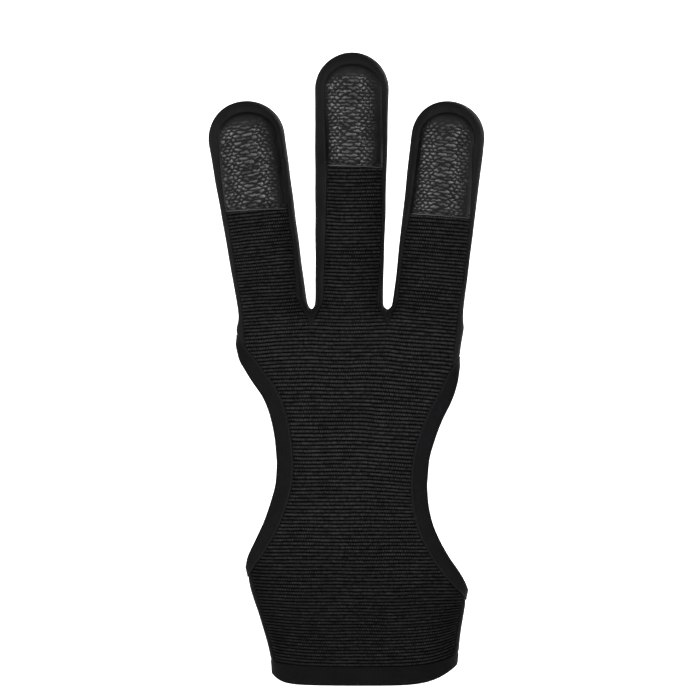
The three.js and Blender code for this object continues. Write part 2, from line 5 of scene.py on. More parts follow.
import bmesh
import bpy
import numpy as np
from bpy.props import FloatProperty, FloatVectorProperty, IntProperty, PointerProperty
from bpy.types import Operator, Panel, PropertyGroup
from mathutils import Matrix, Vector
from mathutils.kdtree import KDTree


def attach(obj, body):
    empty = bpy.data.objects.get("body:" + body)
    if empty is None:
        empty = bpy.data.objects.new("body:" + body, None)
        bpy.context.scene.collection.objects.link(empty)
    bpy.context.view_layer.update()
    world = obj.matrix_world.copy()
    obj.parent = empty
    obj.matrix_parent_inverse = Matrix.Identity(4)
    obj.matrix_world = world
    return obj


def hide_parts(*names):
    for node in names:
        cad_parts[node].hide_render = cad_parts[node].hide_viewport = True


bl_info = {
    "name": "Archery glove",
    "version": (1, 0, 0),
    "blender": (4, 5, 0),
    "location": "View3D > Sidebar > Glove",
    "description": "Makes the cloth, leather and tape pieces of a three-finger archery glove",
    "category": "Object",
}

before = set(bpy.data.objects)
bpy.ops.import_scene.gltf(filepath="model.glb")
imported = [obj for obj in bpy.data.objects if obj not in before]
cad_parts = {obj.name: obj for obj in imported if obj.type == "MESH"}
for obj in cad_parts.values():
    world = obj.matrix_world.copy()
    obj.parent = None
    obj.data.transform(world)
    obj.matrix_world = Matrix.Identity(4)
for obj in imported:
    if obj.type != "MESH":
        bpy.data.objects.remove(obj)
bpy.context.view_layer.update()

# ---------------------------------------------------------------------------------------------------------------------
# The form of the glove in millimetres, as its solids have it. +Z points along the middle finger, +X to the thumb's
# side, and the palm faces -Y.
# ---------------------------------------------------------------------------------------------------------------------
WEB_HEIGHT = 113.4
RING_GAP = 2.4
INDEX_GAP = 3.1
MIDDLE_OFFSET = -4.5
SEAM_TOP = 3.8  # from a finger's tip to the seam round its palm side
SEAM_TIP_HEIGHT = 5.1  # from where a web's lines start up to the seam's tip
KNUCKLE_DEPTH = 11.0
KNIT_WALL = 1.4
BACK_WALL = 1.2
PAD_INSET = 0.07
TAPE_WIDTH = 5.2
HEM_HEIGHT = 5.8
HEM_FOLD = 1.25  # the height of its fold midway
HEM_EDGE = 6.95  # and of its upper edge
TUCK = 0.4  # how far the cloth runs on under the hem and the tapes
HEM_TOP = HEM_HEIGHT - TUCK
CUFF_TOP = 34.0
CUFF_FADE = 8.0  # over which the cuff's looks pass into the palm's
CUFF_SEAM_LEFT = 1.5
CUFF_SEAM_RIGHT = 1.7
SEAM_SLIT = 0.06  # half the slit between the two panels
SQUARENESS = 2.4  # of the hand's sections, where 2 is an ellipse
BLEND = 10  # how sharply the hand and the fingers meet
FINGER_ROOT = 25  # how far a finger's form goes on into the hand
WEB_ROUND = 6.4  # height of the rounding between the fingers
WEB_FILL = 0.3  # how far it ends below the webs' height
WEB_ORIGIN_DEPTH = 9.4  # from the webs' height down to where their lines start
ROW_BOW = 2.5  # how far rows over the back bow at the openings' ends
FOOT = 2.0  # how far along a finger its own rows start
TAPE_DIP = 0.14  # how far the cloth sinks beside the tapes
PAD_DIP = 0.34  # and under the pads
PAD_BOND = 0.18  # how far a pad's inner face lies in the cloth
PAD_OVERLAP = 2.4  # how far the ribs go on under a pad
RIB_WOBBLE = 0.09
STITCH_STEP = 1.5
STITCH_LENGTH = 1.15
STITCH_RADIUS = 0.16
STITCH_ROW = 1.05  # from a pad's cut edge to its row of stitches

FINGER_COLUMNS = ("length", "foot_half", "tip_half", "foot_depth", "tip_depth", "lean", "bend", "pad", "rib_pitch",
                  "pad_slant")
FINGERS = {
    "ring": (62.1, 10.35, 11.5, 10.3, 9.0, -8.7, 3.0, 29.4, 1.04, -0.09),
    "middle": (76.5, 10.0, 11.1, 10.4, 9.0, 0.75, 3.4, 30.6, 1.07, -0.02),
    "index": (62.0, 10.55, 11.05, 10.4, 9.0, 6.6, 3.0, 31.0, 1.09, 0.03),
}
fingers = {name: SimpleNamespace(**dict(zip(FINGER_COLUMNS, row))) for name, row in FINGERS.items()}


def foot_span(f):
    return f.foot_half / math.cos(math.radians(f.lean))


ring, middle, index = fingers.values()
middle.foot_x = MIDDLE_OFFSET
ring.foot_x = MIDDLE_OFFSET - foot_span(middle) - RING_GAP - foot_span(ring)
index.foot_x = MIDDLE_OFFSET + foot_span(middle) + INDEX_GAP + foot_span(index)
for f in fingers.values():
    f.sin, f.cos = math.sin(math.radians(f.lean)), math.cos(math.radians(f.lean))
    f.reach = (f.length - f.tip_half) / f.cos
    f.top = f.reach + f.tip_half - SEAM_TOP
    f.pad_foot = f.top - f.pad
WEBS = [
    (ring.foot_x + foot_span(ring) + MIDDLE_OFFSET - foot_span(middle)) / 2,
    (index.foot_x - foot_span(index) + MIDDLE_OFFSET + foot_span(middle)) / 2,
]
WRIST = (27.4, 27.3, 19.2)
HEEL = (35.4, 31.2, 17.6)
PALM = (46.0, 38.0, 15.0)
KNUCKLES = (foot_span(ring) - ring.foot_x, foot_span(index) + index.foot_x, KNUCKLE_DEPTH)
SECTIONS = (  # height as a share of the web's, the section, and its left, right and depth as shares
    (0.0, WRIST, 1.0, 1.0, 1.0), (0.06, WRIST, 1.015, 1.025, 1.0), (0.18, HEEL, 0.88, 0.95, 1.06),
    (0.255, HEEL, 0.96, 1.0, 1.03), (0.315, HEEL, 1.003, 1.06, 1.0), (0.42, PALM, 0.87, 0.94, 1.07),
    (0.6, PALM, 1.0, 1.0, 1.0), (0.76, PALM, 0.97, 0.87, 0.97), (0.84, KNUCKLES, 1.085, 0.955, 1.24),
    (0.9, KNUCKLES, 1.01, 0.935, 1.14), (0.95, KNUCKLES, 0.985, 0.95, 1.06), (1.0, KNUCKLES, 0.985, 0.975, 1.0),
)
PINKY_OPENING = SimpleNamespace(
    side=-1, top=102.0, waist=67.0, bottom=36.0, waist_reach=26.1, tape=TAPE_WIDTH,
    upper=((0, 0), (0.19, 0.045), (0.37, 0.14), (0.54, 0.31), (0.71, 0.63), (0.8, 0.79), (0.88, 0.92), (1, 1)),
    lower=((0, 0), (0.17, 0.035), (0.36, 0.19), (0.56, 0.42), (0.75, 0.71), (0.9, 0.93), (1, 1)),
)
THUMB_OPENING = SimpleNamespace(
    side=1, top=95.5, waist=60.5, bottom=29.2, waist_reach=18.9, tape=TAPE_WIDTH,
    upper=((0, 0), (0.21, 0.065), (0.38, 0.23), (0.55, 0.46), (0.72, 0.76), (0.81, 0.88), (0.9, 0.96), (1, 1)),
    lower=((0, 0), (0.15, 0.025), (0.34, 0.12), (0.53, 0.32), (0.72, 0.59), (0.82, 0.77), (0.91, 0.91), (1, 1)),
)

# How finely the pieces are meshed.
FINE = 4  # times the steps of the solids
LOOP = 16 * FINE
JOINT = 2 * FINE  # from the top of an opening to the seam between the panels
CUFF_JOINT = 6  # from its bottom to the cuff's side seam
PALM_COLUMNS = 16
ROWS_PER_RIB = 5
PAD_COLUMNS = 104
PAD_ROWS = 168
PATCH_ROWS = 25  # of the palm's cloth under a pad
LEG_ROWS = 48  # up a finger
BACK_STEPS = 24 * FINE  # from side to side over the back
SHOULDER_ROWS = 14  # over the back from the fingers to the openings
CUFF_ROWS = 22  # and from the openings to the hem
HEM_STEPS = 180


def lerp(a, b, t):
    return a + (b - a) * t


def smoothstep(t):
    t = np.clip(t, 0, 1)
    return t * t * (3 - 2 * t)


def unit(v):
    return v / np.linalg.norm(v, axis=-1, keepdims=True)


def vec(x, y, z):
    return np.stack(np.broadcast_arrays(x, y, z), axis=-1).astype(float)


def smooth_curve(points):
    """A curve through the points that doesn't swing past them."""
    x, y = np.array(points, float).T
    slopes = np.diff(y) / np.diff(x)
    product = slopes[:-1] * slopes[1:]
    total = np.where(product > 0, slopes[:-1] + slopes[1:], 1)
    tangents = np.concatenate([slopes[:1], np.where(product > 0, 2 * product / total, 0), slopes[-1:]])

    def at(value):
        value = np.clip(value, x[0], x[-1])
        i = np.clip(np.searchsorted(x, value, side="right") - 1, 0, len(x) - 2)
        width = x[i + 1] - x[i]
        t = (value - x[i]) / width
        rest = 1 - t
        bent = width * t * rest * (tangents[i] * rest - tangents[i + 1] * t)
        return y[i] * rest * rest * (1 + 2 * t) + y[i + 1] * t * t * (3 - 2 * t) + bent

    return at


SEAMS = {  # how far the seam lies in from the left and the right of a finger, by the share of the way to its tip
    "ring": (((0, 1.2), (0.35, 1.4), (0.58, 1.6), (0.72, 1.8), (0.87, 2.3), (1, 3.0)),
             ((0, 2.9), (0.16, 2.3), (0.36, 1.8), (0.58, 2.0), (1, 2.3))),
    "middle": (((0, 2.1), (0.3, 2.9), (0.64, 3.5), (0.8, 3.2), (1, 3.0)),
               ((0, 1.9), (0.1, 1.3), (0.3, 0.9), (0.64, 1.2), (1, 2.1))),
    "index": (((0, 1.2), (0.15, 1.0), (0.34, 1.1), (0.54, 2.1), (1, 2.6)),
              ((0, 1.5), (0.2, 1.1), (0.34, 1.0), (0.54, 1.5), (0.75, 2.4), (0.92, 3.2), (1, 3.3))),
}
for name, f in fingers.items():
    f.seam_left, f.seam_right = (smooth_curve([(share * f.reach, width) for share, width in side])
                                 for side in SEAMS[name])

left_reach, right_reach, half_depth = (
    smooth_curve([(row[0] * WEB_HEIGHT, row[1][k] * row[2 + k]) for row in SECTIONS]) for k in range(3)
)


def hand_middle(z):
    return (right_reach(z) - left_reach(z)) / 2


def half_reach(z):
    return (left_reach(z) + right_reach(z)) / 2


def aside(x, z):
    """How near the glove's sides a place is: 0 midway and 1 at a side."""
    return np.abs(x - hand_middle(z)) / half_reach(z)


def cuff_share(z):
    return 1 - smoothstep((z - CUFF_TOP) / CUFF_FADE)


def finger_place(f, x, z):
    """How far a place is along a finger from its foot, and across it from its middle."""
    dx, dz = x - f.foot_x, z - WEB_HEIGHT
    return dx * f.sin + dz * f.cos, dx * f.cos - dz * f.sin


def finger_measure(f, p):
    along, across = finger_place(f, p[..., 0], p[..., 2])
    share = np.clip(along / f.reach, 0, 1)
    beyond = np.maximum(along - f.reach, 0) / f.tip_half + np.minimum(along, 0) / FINGER_ROOT
    wide = across / lerp(f.foot_half, f.tip_half, share)
    deep = (p[..., 1] + f.bend * share * share) / lerp(f.foot_depth, f.tip_depth, share)
    return np.sqrt(wide**2 + deep**2 + beyond**2)


def hand_measure(p):
    x, y, z = p[..., 0], p[..., 1], p[..., 2]
    around = (aside(x, z) ** SQUARENESS + (np.abs(y) / half_depth(z)) ** SQUARENESS) ** (1 / SQUARENESS)
    return np.hypot(around, np.maximum(0, z - (WEB_HEIGHT - WEB_FILL - WEB_ROUND)) / WEB_ROUND)


def measure(p):
    """How far out a point is in the form: 1 on its surface and less inside it."""
    parts = [hand_measure(p)] + [finger_measure(f, p) for f in fingers.values()]
    return sum(np.maximum(part, 0.1) ** -BLEND for part in parts) ** (-1 / BLEND)


def slope(p, step=0.5):
    axes = np.eye(3) * step
    return np.stack([(measure(p + axis) - measure(p - axis)) / (2 * step) for axis in axes], axis=-1)


def cast(origin, direction, march=0.8):
    """Where directions from points inside the form first leave it."""
    origin, direction = np.broadcast_arrays(origin, direction)
    outside = np.full(origin.shape[:-1], march)
    going = np.ones(outside.shape, bool)
    while going.any():
        going[going] = measure(origin[going] + outside[going][:, None] * direction[going]) < 1
        outside[going] += march
    inside = outside - march
    for _ in range(15):
        halfway = (inside + outside) / 2
        within = measure(origin + halfway[..., None] * direction) < 1
        inside, outside = np.where(within, halfway, inside), np.where(within, outside, halfway)
    return origin + inside[..., None] * direction


def settle(p, rounds=8):
    """The form's nearest surface to points that are close to it."""
    for _ in range(rounds):
        gradient = slope(p)
        size = np.linalg.norm(gradient, axis=-1)
        step = np.clip((1 - measure(p)) / size, -3, 3)
        p = p + gradient * (step / size)[..., None]
    return p


def palm_point(x, z):
    return cast(vec(x, 0, z), np.array([0.0, -1.0, 0.0]))


def outline(side, z):
    return cast(vec(hand_middle(z), 0, z), np.array([side, 0.0, 0.0]))[..., 0]


def between(a, b, share):
    """Points on the form between others. Those on the palm side or the back keep their place seen from there."""
    p = lerp(a, b, share)
    near = settle(p)
    facing = cast(vec(p[..., 0], 0, p[..., 2]), vec(0, np.where(p[..., 1] < 0, -1.0, 1.0), 0))
    return settle(lerp(near, facing, smoothstep((np.abs(p[..., 1]) - 3.5) / 3)[..., None]), 3)


def in_finger(f, along, across, through):
    share = np.clip(along / f.reach, 0, 1)
    return vec(f.foot_x + along * f.sin + across * f.cos, through - f.bend * share * share,
               WEB_HEIGHT + along * f.cos - across * f.sin)


def half_width(f, along):
    return lerp(f.foot_half, f.tip_half, np.clip(along / f.reach, 0, 1))


def finger_depth(f, along):
    return lerp(f.foot_depth, f.tip_depth, np.clip(along / f.reach, 0, 1))


def seam_half(f, side, along, inset):
    """Half the width inside the seam on one side of a finger, less an extra inset."""
    return half_width(f, along) - np.where(np.asarray(side) < 0, f.seam_left(along), f.seam_right(along)) - inset


def opening_loop(opening, inset):
    """An opening's edge, up the palm side from its bottom and down the back, moved into the cloth by each inset."""
    z = lerp(opening.bottom, opening.top, (1 - np.cos(np.linspace(0, math.pi, LOOP + 1))) / 2)
    high = z > opening.waist
    end = np.where(high, opening.top, opening.bottom)
    share = (z - opening.waist) / (end - opening.waist)
    out = np.where(high, smooth_curve(opening.upper)(share), smooth_curve(opening.lower)(share))
    x = lerp(opening.side * opening.waist_reach, outline(opening.side, end), out)
    palm_side = np.concatenate([vec(x[:1], 0, z[:1]), palm_point(x[1:-1], z[1:-1]), vec(x[-1:], 0, z[-1:])])
    edge = np.concatenate([palm_side, palm_side[-2:0:-1] * (1, -1, 1)])
    into = unit(np.cross(np.roll(edge, -1, 0) - np.roll(edge, 1, 0), slope(edge))) * -opening.side
    height = (edge[:, 2] - opening.bottom) / (opening.top - opening.bottom)
    narrowing = 1 - 0.35 * np.abs(2 * height - 1) ** 6
    inset = np.asarray(inset, float)[..., None, None]
    return settle(edge + into * inset * narrowing[:, None])


def cloth_loop(opening):
    """The cloth's own edge under an opening's tape."""
    return opening_loop(opening, opening.tape - TUCK)


def hem_height(x, base, back=0.0):
    """How high the hem lies at x, from its fold, where base is 0, to its upper edge. It is narrower at the sides, and
    rises to them more slowly at the back."""
    sideways = (x - hand_middle(0)) / half_reach(0)
    side = np.minimum(np.abs(sideways), 1)
    low = HEM_FOLD + np.where(sideways < 0, 2.6 * side ** lerp(12, 4, back), 5.4 * side ** lerp(5, 2.5, back))
    high = HEM_EDGE + np.where(sideways < 0, 0.9 * side**4, 2.9 * side ** lerp(4, 2.5, back))
    return lerp(low, high, base / HEM_HEIGHT)


def squared(value, power):
    return np.sign(value) * np.abs(value) ** power


def cuff_point(degrees, base):
    """A point on the cuff at an angle round it: 0 at the little finger's side, 90 at the back."""
    angle = np.radians(degrees)
    x = hand_middle(base) - half_reach(base) * squared(np.cos(angle), 2 / SQUARENESS)
    z = hem_height(x, base, smoothstep(np.sin(angle)))
    return settle(vec(x, half_depth(z) * squared(np.sin(angle), 2 / SQUARENESS), z))


def cuff_seam(side, inset):
    """The lower end of the cuff's side seam, at an inset from the outline."""
    x = outline(side, hem_height(side * math.inf, HEM_TOP)) - side * inset
    return palm_point(x, hem_height(x, HEM_TOP))


def web_line(web_x, slit):
    """Up a web's middle from the seam's tip on the palm side, over the top, to the back."""
    tip = math.degrees(math.atan2(WEB_ORIGIN_DEPTH - SEAM_TIP_HEIGHT + slit, KNUCKLE_DEPTH))
    turn = smooth_curve([(0, tip), (1, 52), (2, 90), (3, 112), (4, 132)])(np.linspace(0, 4, 4 * FINE + 1))
    turn = np.radians(turn)
    origin = np.array([web_x, 0, WEB_HEIGHT - WEB_ORIGIN_DEPTH])
    return cast(origin, vec(0, -np.cos(turn), np.sin(turn)))


def ripple(x, z, size, seed):
    """A gentle unevenness between about -1 and 1, whose waves are about a size long."""
    random = np.random.default_rng(seed)
    total = 0
    for _ in range(7):
        turn, wave, start = random.uniform(0, math.tau), random.uniform(0.6, 1.7), random.uniform(0, math.tau)
        total = total + np.sin(math.tau * wave / size * (np.cos(turn) * x + np.sin(turn) * z) + start)
    return total / 3.5


# ---------------------------------------------------------------------------------------------------------------------
# Sheets
# ---------------------------------------------------------------------------------------------------------------------
def distances(points, lines):
    """How far points are from the nearest of some lines of points."""
    dots = np.concatenate([
        np.concatenate([lerp(line[:-1], line[1:], t) for t in np.linspace(0, 1, 9)]) for line in lines
    ])
    tree = KDTree(len(dots))
    for i, dot in enumerate(dots):
        tree.insert(dot, i)
    tree.balance()
    return np.array([tree.find(point)[2] for point in points])


class Sheet:
    """Grids of points that become one mesh where they share points."""

    def __init__(self):
        self.points, self.weave, self.lift, self.quads, self.count = [], [], [], [], 0

    def add(self, rows, weave=None, lift=0.0):
        m, n = rows.shape[:2]
        if weave is None:  # millimetres across and along
            across = np.linalg.norm(np.diff(rows, axis=1, prepend=rows[:, :1]), axis=-1).cumsum(1)
            along = np.linalg.norm(np.diff(rows, axis=0, prepend=rows[:1]), axis=-1).cumsum(0)
            weave = np.stack([across - across[:, n // 2, None], along], -1)
        number = np.arange(m * n).reshape(m, n) + self.count
        corners = [number[:-1, :-1], number[:-1, 1:], number[1:, 1:], number[1:, :-1]]
        self.quads.append(np.stack(corners, -1).reshape(-1, 4))
        self.points.append(rows.reshape(-1, 3))
        self.weave.append(np.broadcast_to(weave, (m, n, 2)).reshape(-1, 2))
        self.lift.append(np.broadcast_to(lift, (m, n)).reshape(-1))
        self.count += m * n
        return self

    def weld(self):
        points = np.concatenate(self.points)
        _, first, shared = np.unique(np.round(points / 0.001).astype(np.int64), axis=0, return_index=True,
                                     return_inverse=True)
        self.surface = points[first]
        self.corner_weave = np.concatenate(self.weave)
        self.point_weave = self.corner_weave[first]
        self.height = np.concatenate(self.lift)[first]
        self.corners = np.concatenate(self.quads)
        self.faces = shared.reshape(-1)[self.corners]
        return self

    def layered(self, outer, inner):
        """Closed mesh with an outer and an inner face, each at its distance from the form."""
        up = unit(slope(self.surface))
        a, b, c, d = (self.surface[self.faces[:, k]] for k in range(4))
        inverted = (np.cross(c - a, d - b) * up[self.faces[:, 0]]).sum(-1) < 0
        self.faces[inverted] = self.faces[inverted][:, ::-1]
        self.corners[inverted] = self.corners[inverted][:, ::-1]
        points = np.concatenate([self.surface + up * np.reshape(outer, (-1, 1)),
                                 self.surface + up * np.reshape(inner, (-1, 1))])
        count = len(self.surface)
        faces, weave, sides = [], [], {}
        for face, corner in zip(self.faces.tolist(), self.corners.tolist()):
            kept = [k for k in range(4) if face[k] != face[k - 1]]
            if len(kept) < 3:
                continue
            faces.append([face[k] for k in kept])
            faces.append([face[k] + count for k in reversed(kept)])
            weave.append(self.corner_weave[[corner[k] for k in kept]])
            weave.append(self.corner_weave[[corner[k] for k in reversed(kept)]])
            for k, start in enumerate(faces[-2]):
                end = faces[-2][(k + 1) % len(kept)]
                if sides.pop((end, start), None) is None:
                    sides[(start, end)] = True
        for start, end in sides:
            faces.append([end, start, start + count, end + count])
            weave.append(self.point_weave[[end, start, start, end]])
        return points, faces, np.concatenate(weave)

    def closed(self):
        """The grids as they are, where they close on themselves."""
        a, b, c, d = (self.surface[self.faces[:, k]] for k in range(4))
        if (np.cross(c - a, d - b) * (a + b + c + d)).sum() < 0:
            self.faces, self.corners = self.faces[:, ::-1], self.corners[:, ::-1]
        return self.surface, self.faces.tolist(), self.corner_weave[self.corners].reshape(-1, 2)


def make_object(name, mesh_data, material, sharp=50, values=None):
    """An object from points in millimetres, faces and the weave's coordinates."""
    points, faces, weave = mesh_data
    mesh = bpy.data.meshes.new(name)
    mesh.from_pydata((points * 0.001).tolist(), [], faces)
    mesh.uv_layers.new(name="weave").data.foreach_set("uv", np.asarray(weave, float).ravel())
    for key, value in (values or {}).items():
        mesh.attributes.new(key, "FLOAT", "POINT").data.foreach_set("value", np.asarray(value, float))
    mesh.materials.append(material)
    obj = bpy.data.objects.new(name, mesh)
    bpy.context.collection.objects.link(obj)
    bpy.ops.object.select_all(action="DESELECT")
    obj.select_set(True)
    bpy.context.view_layer.objects.active = obj
    bpy.ops.object.shade_smooth_by_angle(angle=math.radians(sharp))
    return obj


def both(values):
    """Values for the outer and the inner face of a layered mesh."""
    return np.concatenate([values, values])


def put_on(obj, node):
    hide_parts(node)
    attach(obj, "root")


# ---------------------------------------------------------------------------------------------------------------------
# Finishes
# ---------------------------------------------------------------------------------------------------------------------
def arithmetic(operation, turned=False):
    def method(self, other):
        return self.finish.math(operation, *((other, self) if turned else (self, other)))

    return method


class Value:
    """A value that changes over a surface. Arithmetic on it adds the nodes that do the sum."""

    def __init__(self, finish, socket):
        self.finish, self.socket = finish, socket

    __add__, __radd__ = arithmetic("ADD"), arithmetic("ADD", True)
    __sub__, __rsub__ = arithmetic("SUBTRACT"), arithmetic("SUBTRACT", True)
    __mul__, __rmul__ = arithmetic("MULTIPLY"), arithmetic("MULTIPLY", True)
    __pow__ = arithmetic("POWER")


class Finish:
    """A material and the nodes that make it."""

    def __init__(self, name, **constants):
        self.material = bpy.data.materials.new(name)
        self.material.use_nodes = True
        self.tree = self.material.node_tree
        self.shader = self.tree.nodes["Principled BSDF"]
        for key, value in constants.items():
            self.shader.inputs[key.replace("_", " ")].default_value = value

    def node(self, kind, settings=None, inputs=None, output=0):
        node = self.tree.nodes.new(kind)
        for key, value in (settings or {}).items():
            setattr(node, key, value)
        for key, value in (inputs or {}).items():
            if isinstance(value, Value):
                self.tree.links.new(value.socket, node.inputs[key])
            else:
                node.inputs[key].default_value = value
        return Value(self, node.outputs[output])

    def math(self, operation, a, b=0.0):
        return self.node("ShaderNodeMath", {"operation": operation}, {0: a, 1: b})

    def wave(self, value, length):
        """From 0 to 1 and back over a length, starting at 1."""
        return self.math("COSINE", value * (math.tau / length)) * 0.5 + 0.5

    def place(self):
        return self.node("ShaderNodeTexCoord", output="Object")

    def attribute(self, name):
        return self.node("ShaderNodeAttribute", {"attribute_name": name}, None, "Fac")

    def vector(self, x, y, z=0.0):
        return self.node("ShaderNodeCombineXYZ", None, {0: x, 1: y, 2: z})

    def grain(self, size, detail=2.0, where=None, roughness=0.5):
        """Cloudy variation whose spots have a size in metres, about 0.5 on average."""
        inputs = {"Vector": where or self.place(), "Scale": 1 / size, "Detail": detail, "Roughness": roughness}
        return self.node("ShaderNodeTexNoise", None, inputs, "Fac")

    def range(self, value, low, high, to_low=0.0, to_high=1.0):
        inputs = {"Value": value, "From Min": low, "From Max": high, "To Min": to_low, "To Max": to_high}
        return self.node("ShaderNodeMapRange", {"clamp": True}, inputs)

    def mix(self, share, a, b):
        a, b = (value if isinstance(value, Value) else (*value[:3], 1.0) for value in (a, b))
        return self.node("ShaderNodeMix", {"data_type": "RGBA"}, {0: share, 6: a, 7: b}, 2)

    def across_along(self):
        where = self.node("ShaderNodeUVMap", {"uv_map": "weave"})
        return (self.node("ShaderNodeSeparateXYZ", None, {0: where}, k) for k in ("X", "Y"))

    def drive(self, key, value):
        self.tree.links.new(value.socket, self.shader.inputs[key])

    def surface(self, color, roughness, height, depth, distance=0.001):
        bump = self.node("ShaderNodeBump", None, {"Strength": depth, "Distance": distance, "Height": height})
        for key, value in (("Base Color", color), ("Roughness", roughness), ("Normal", bump)):
            self.drive(key, value)
        return self.material


def shades(color, low, high):
    return [c * low for c in color], [c * high for c in color]


def ribbed_knit(look):
    finish = Finish("ribbed_knit", Specular_IOR_Level=0.02)
    across, along = finish.across_along()
    drift = finish.grain(0.004, 1.0)
    crest = finish.wave(along + drift * 0.16, 1.0) ** 0.85
    # Stitches show as beads in some patches, and as even ribs elsewhere.
    stitch = finish.wave(across + finish.wave(along, 2.0) * 0.36, 0.72)
    fluff = finish.grain(0.00045, 3.0, roughness=0.7)
    patch = finish.grain(0.012, 2.0)
    beaded = finish.range(patch, 0.42, 0.66, 0.12, 0.8)
    streak = finish.grain(1.0, 2.0, finish.vector(across * 0.3, along * 0.9))
    bright = finish.range(streak, 0.3, 0.7, 0.55, 1.1)
    loop = finish.grain(1.0, 1.0, finish.vector(across * 1.3, along * 1.1, 5.0))
    bright = bright * finish.range(loop, 0.3, 0.7, 0.5, 1.5)
    # The knit is darker where this attribute is low: its ribs show less clearly, and the cuff gets painted shade.
    clarity_and_shade = finish.attribute("rib_clarity_and_shade")
    # Painted shade: the rib crests and beads are painted lighter and the grooves between them near black.
    plain, knotted = crest * (1 - beaded) * bright, stitch * crest * beaded * 1.7 * bright
    shade = plain + knotted + fluff * 0.8 - 0.4
    dark, light = shades(look.color, 0.02, 3.4)
    color = finish.mix(finish.range(shade * clarity_and_shade, 0.02, 1.3), dark, light)
    roughness = finish.range(crest, 0.0, 1.0, 0.95, 0.72)
    height = stitch * crest * 0.5 + fluff * 0.6
    return finish.surface(color, roughness, height, 0.5, 0.00012)


def jersey(look):
    finish = Finish("jersey", Specular_IOR_Level=0.02)
    across, along = finish.across_along()
    wale = finish.wave(across, 0.55)
    course = finish.wave(along + wale * 0.2, 0.42)
    fluff = finish.grain(0.0004, 3.0)
    patch = finish.grain(0.007, 2.0)
    # Painted shade: the wales and courses are painted lighter and the dips between them darker.
    shade = wale * 0.2 + course * 0.2 + fluff * 0.35 + patch * 0.45
    dark, light = shades(look.color, 0.4, 1.6)
    # The shaded attribute paints the back cloth darker on the cuff's palm side: painted shade.
    shaded = finish.attribute("shaded")
    color = finish.mix(finish.range(shade - shaded * 0.32, 0.25, 0.95), dark, light)
    roughness = finish.range(patch, 0.3, 0.7, 0.7, 0.85)
    return finish.surface(color, roughness, wale * 0.35 + course * 0.35 + fluff * 0.5, 0.4, 0.00009)


def binding_tape(look, name="binding_tape", depth=1.0):
    finish = Finish(name, Specular_IOR_Level=0.02)
    across, along = finish.across_along()
    line = finish.wave(across, 0.5)
    fluff = finish.grain(0.0005, 3.0)
    patch = finish.grain(0.006, 2.0)
    bead = finish.attribute("bead")
    # A depth below 1 makes a darker copy of the tape, which the hem uses as painted shade.
    dark, light = shades(look.color, 0.6 * depth, 1.35 * depth)
    plain = finish.mix(finish.range(line * 0.2 + fluff * 0.4 + patch * 0.5, 0.3, 0.8), dark, light)
    # Painted highlight: the bead along the inner edge is painted lighter.
    color = finish.mix(bead, plain, [c * 3.4 for c in look.color])
    roughness = finish.range(patch, 0.3, 0.7, 0.66, 0.8)
    return finish.surface(color, roughness, line * 0.3 + fluff * 0.6, 0.35, 0.00008)


def pad_leather(look):
    finish = Finish("pad_leather", Specular_IOR_Level=0.08, Coat_Roughness=0.24, Coat_IOR=1.5)
    crest = finish.attribute("crest")
    cut = finish.attribute("cut")
    pores = finish.grain(0.0003, 2.0)
    patch = finish.grain(0.004, 2.0)
    # Painted shade: the pebbles' crests are painted lighter and the creases between them dark.
    dark, light = shades(look.color, 0.15, 1.7)
    grain = finish.mix(finish.range(crest * 0.8 + patch * 0.5, 0.2, 1.1), dark, light)
    color = finish.mix(cut, grain, [c * 12 for c in look.color])
    gloss = finish.range(crest + patch * 0.3 - 0.15, 0.27, 0.84, 0.0, 1.0)
    finish.drive("Coat Weight", gloss)
    roughness = finish.range(patch, 0.3, 0.7, 0.5, 0.65)
    return finish.surface(color, roughness, pores + patch, 0.12, 0.0001)


def thread(look):
    finish = Finish("thread", Specular_IOR_Level=0.25)
    fluff = finish.grain(0.0002, 2.0)
    dark, light = shades(look.color, 0.5, 1.2)
    return finish.surface(finish.mix(fluff, dark, light), finish.range(fluff, 0.3, 0.7, 0.6, 0.75), fluff, 0.4, 0.0001)


# ---------------------------------------------------------------------------------------------------------------------
# Sizes and colours that can be changed
# ---------------------------------------------------------------------------------------------------------------------
def color_property(name, description, default):
    return FloatVectorProperty(name=name, description=description, default=default, min=0, max=1, size=3,
                               subtype="COLOR")


def length_property(name, description, default):
    return FloatProperty(name=name, description=description, default=default, min=0, precision=5, unit="LENGTH",
                         subtype="DISTANCE")


class GloveKnit(PropertyGroup):
    color: color_property("Colour", "Colour of the ribbed palm cloth", (0.0067, 0.0067, 0.007))
    rib_height: length_property("Rib height", "How far the ribs stand out from the grooves between them", 0.0003)


class GloveJersey(PropertyGroup):
    color: color_property("Colour", "Colour of the smooth back cloth", (0.0078, 0.0078, 0.0082))
    roll: length_property("Seam roll", "How far the cloth stands out beside the seam", 0.00032)


class GloveLeather(PropertyGroup):
    color: color_property("Colour", "Colour of the tip pads", (0.0075, 0.0075, 0.0077))
    pebble: length_property("Pebble size", "Distance between the pebbles of the leather's grain", 0.00114)
    relief: length_property("Pebble height", "Height of the leather's pebbles", 0.0002)
    seed: IntProperty(name="Seed", description="Picks another scatter of pebbles", default=7, min=0)


class GloveTape(PropertyGroup):
    color: color_property("Colour", "Colour of the bindings and the hem", (0.0046, 0.0046, 0.005))
    leaf: length_property("Thickness", "Thickness of the folded tape", 0.0004)
    bead: length_property("Bead height", "Height of the ridge along the bindings' inner edge", 0.0002)


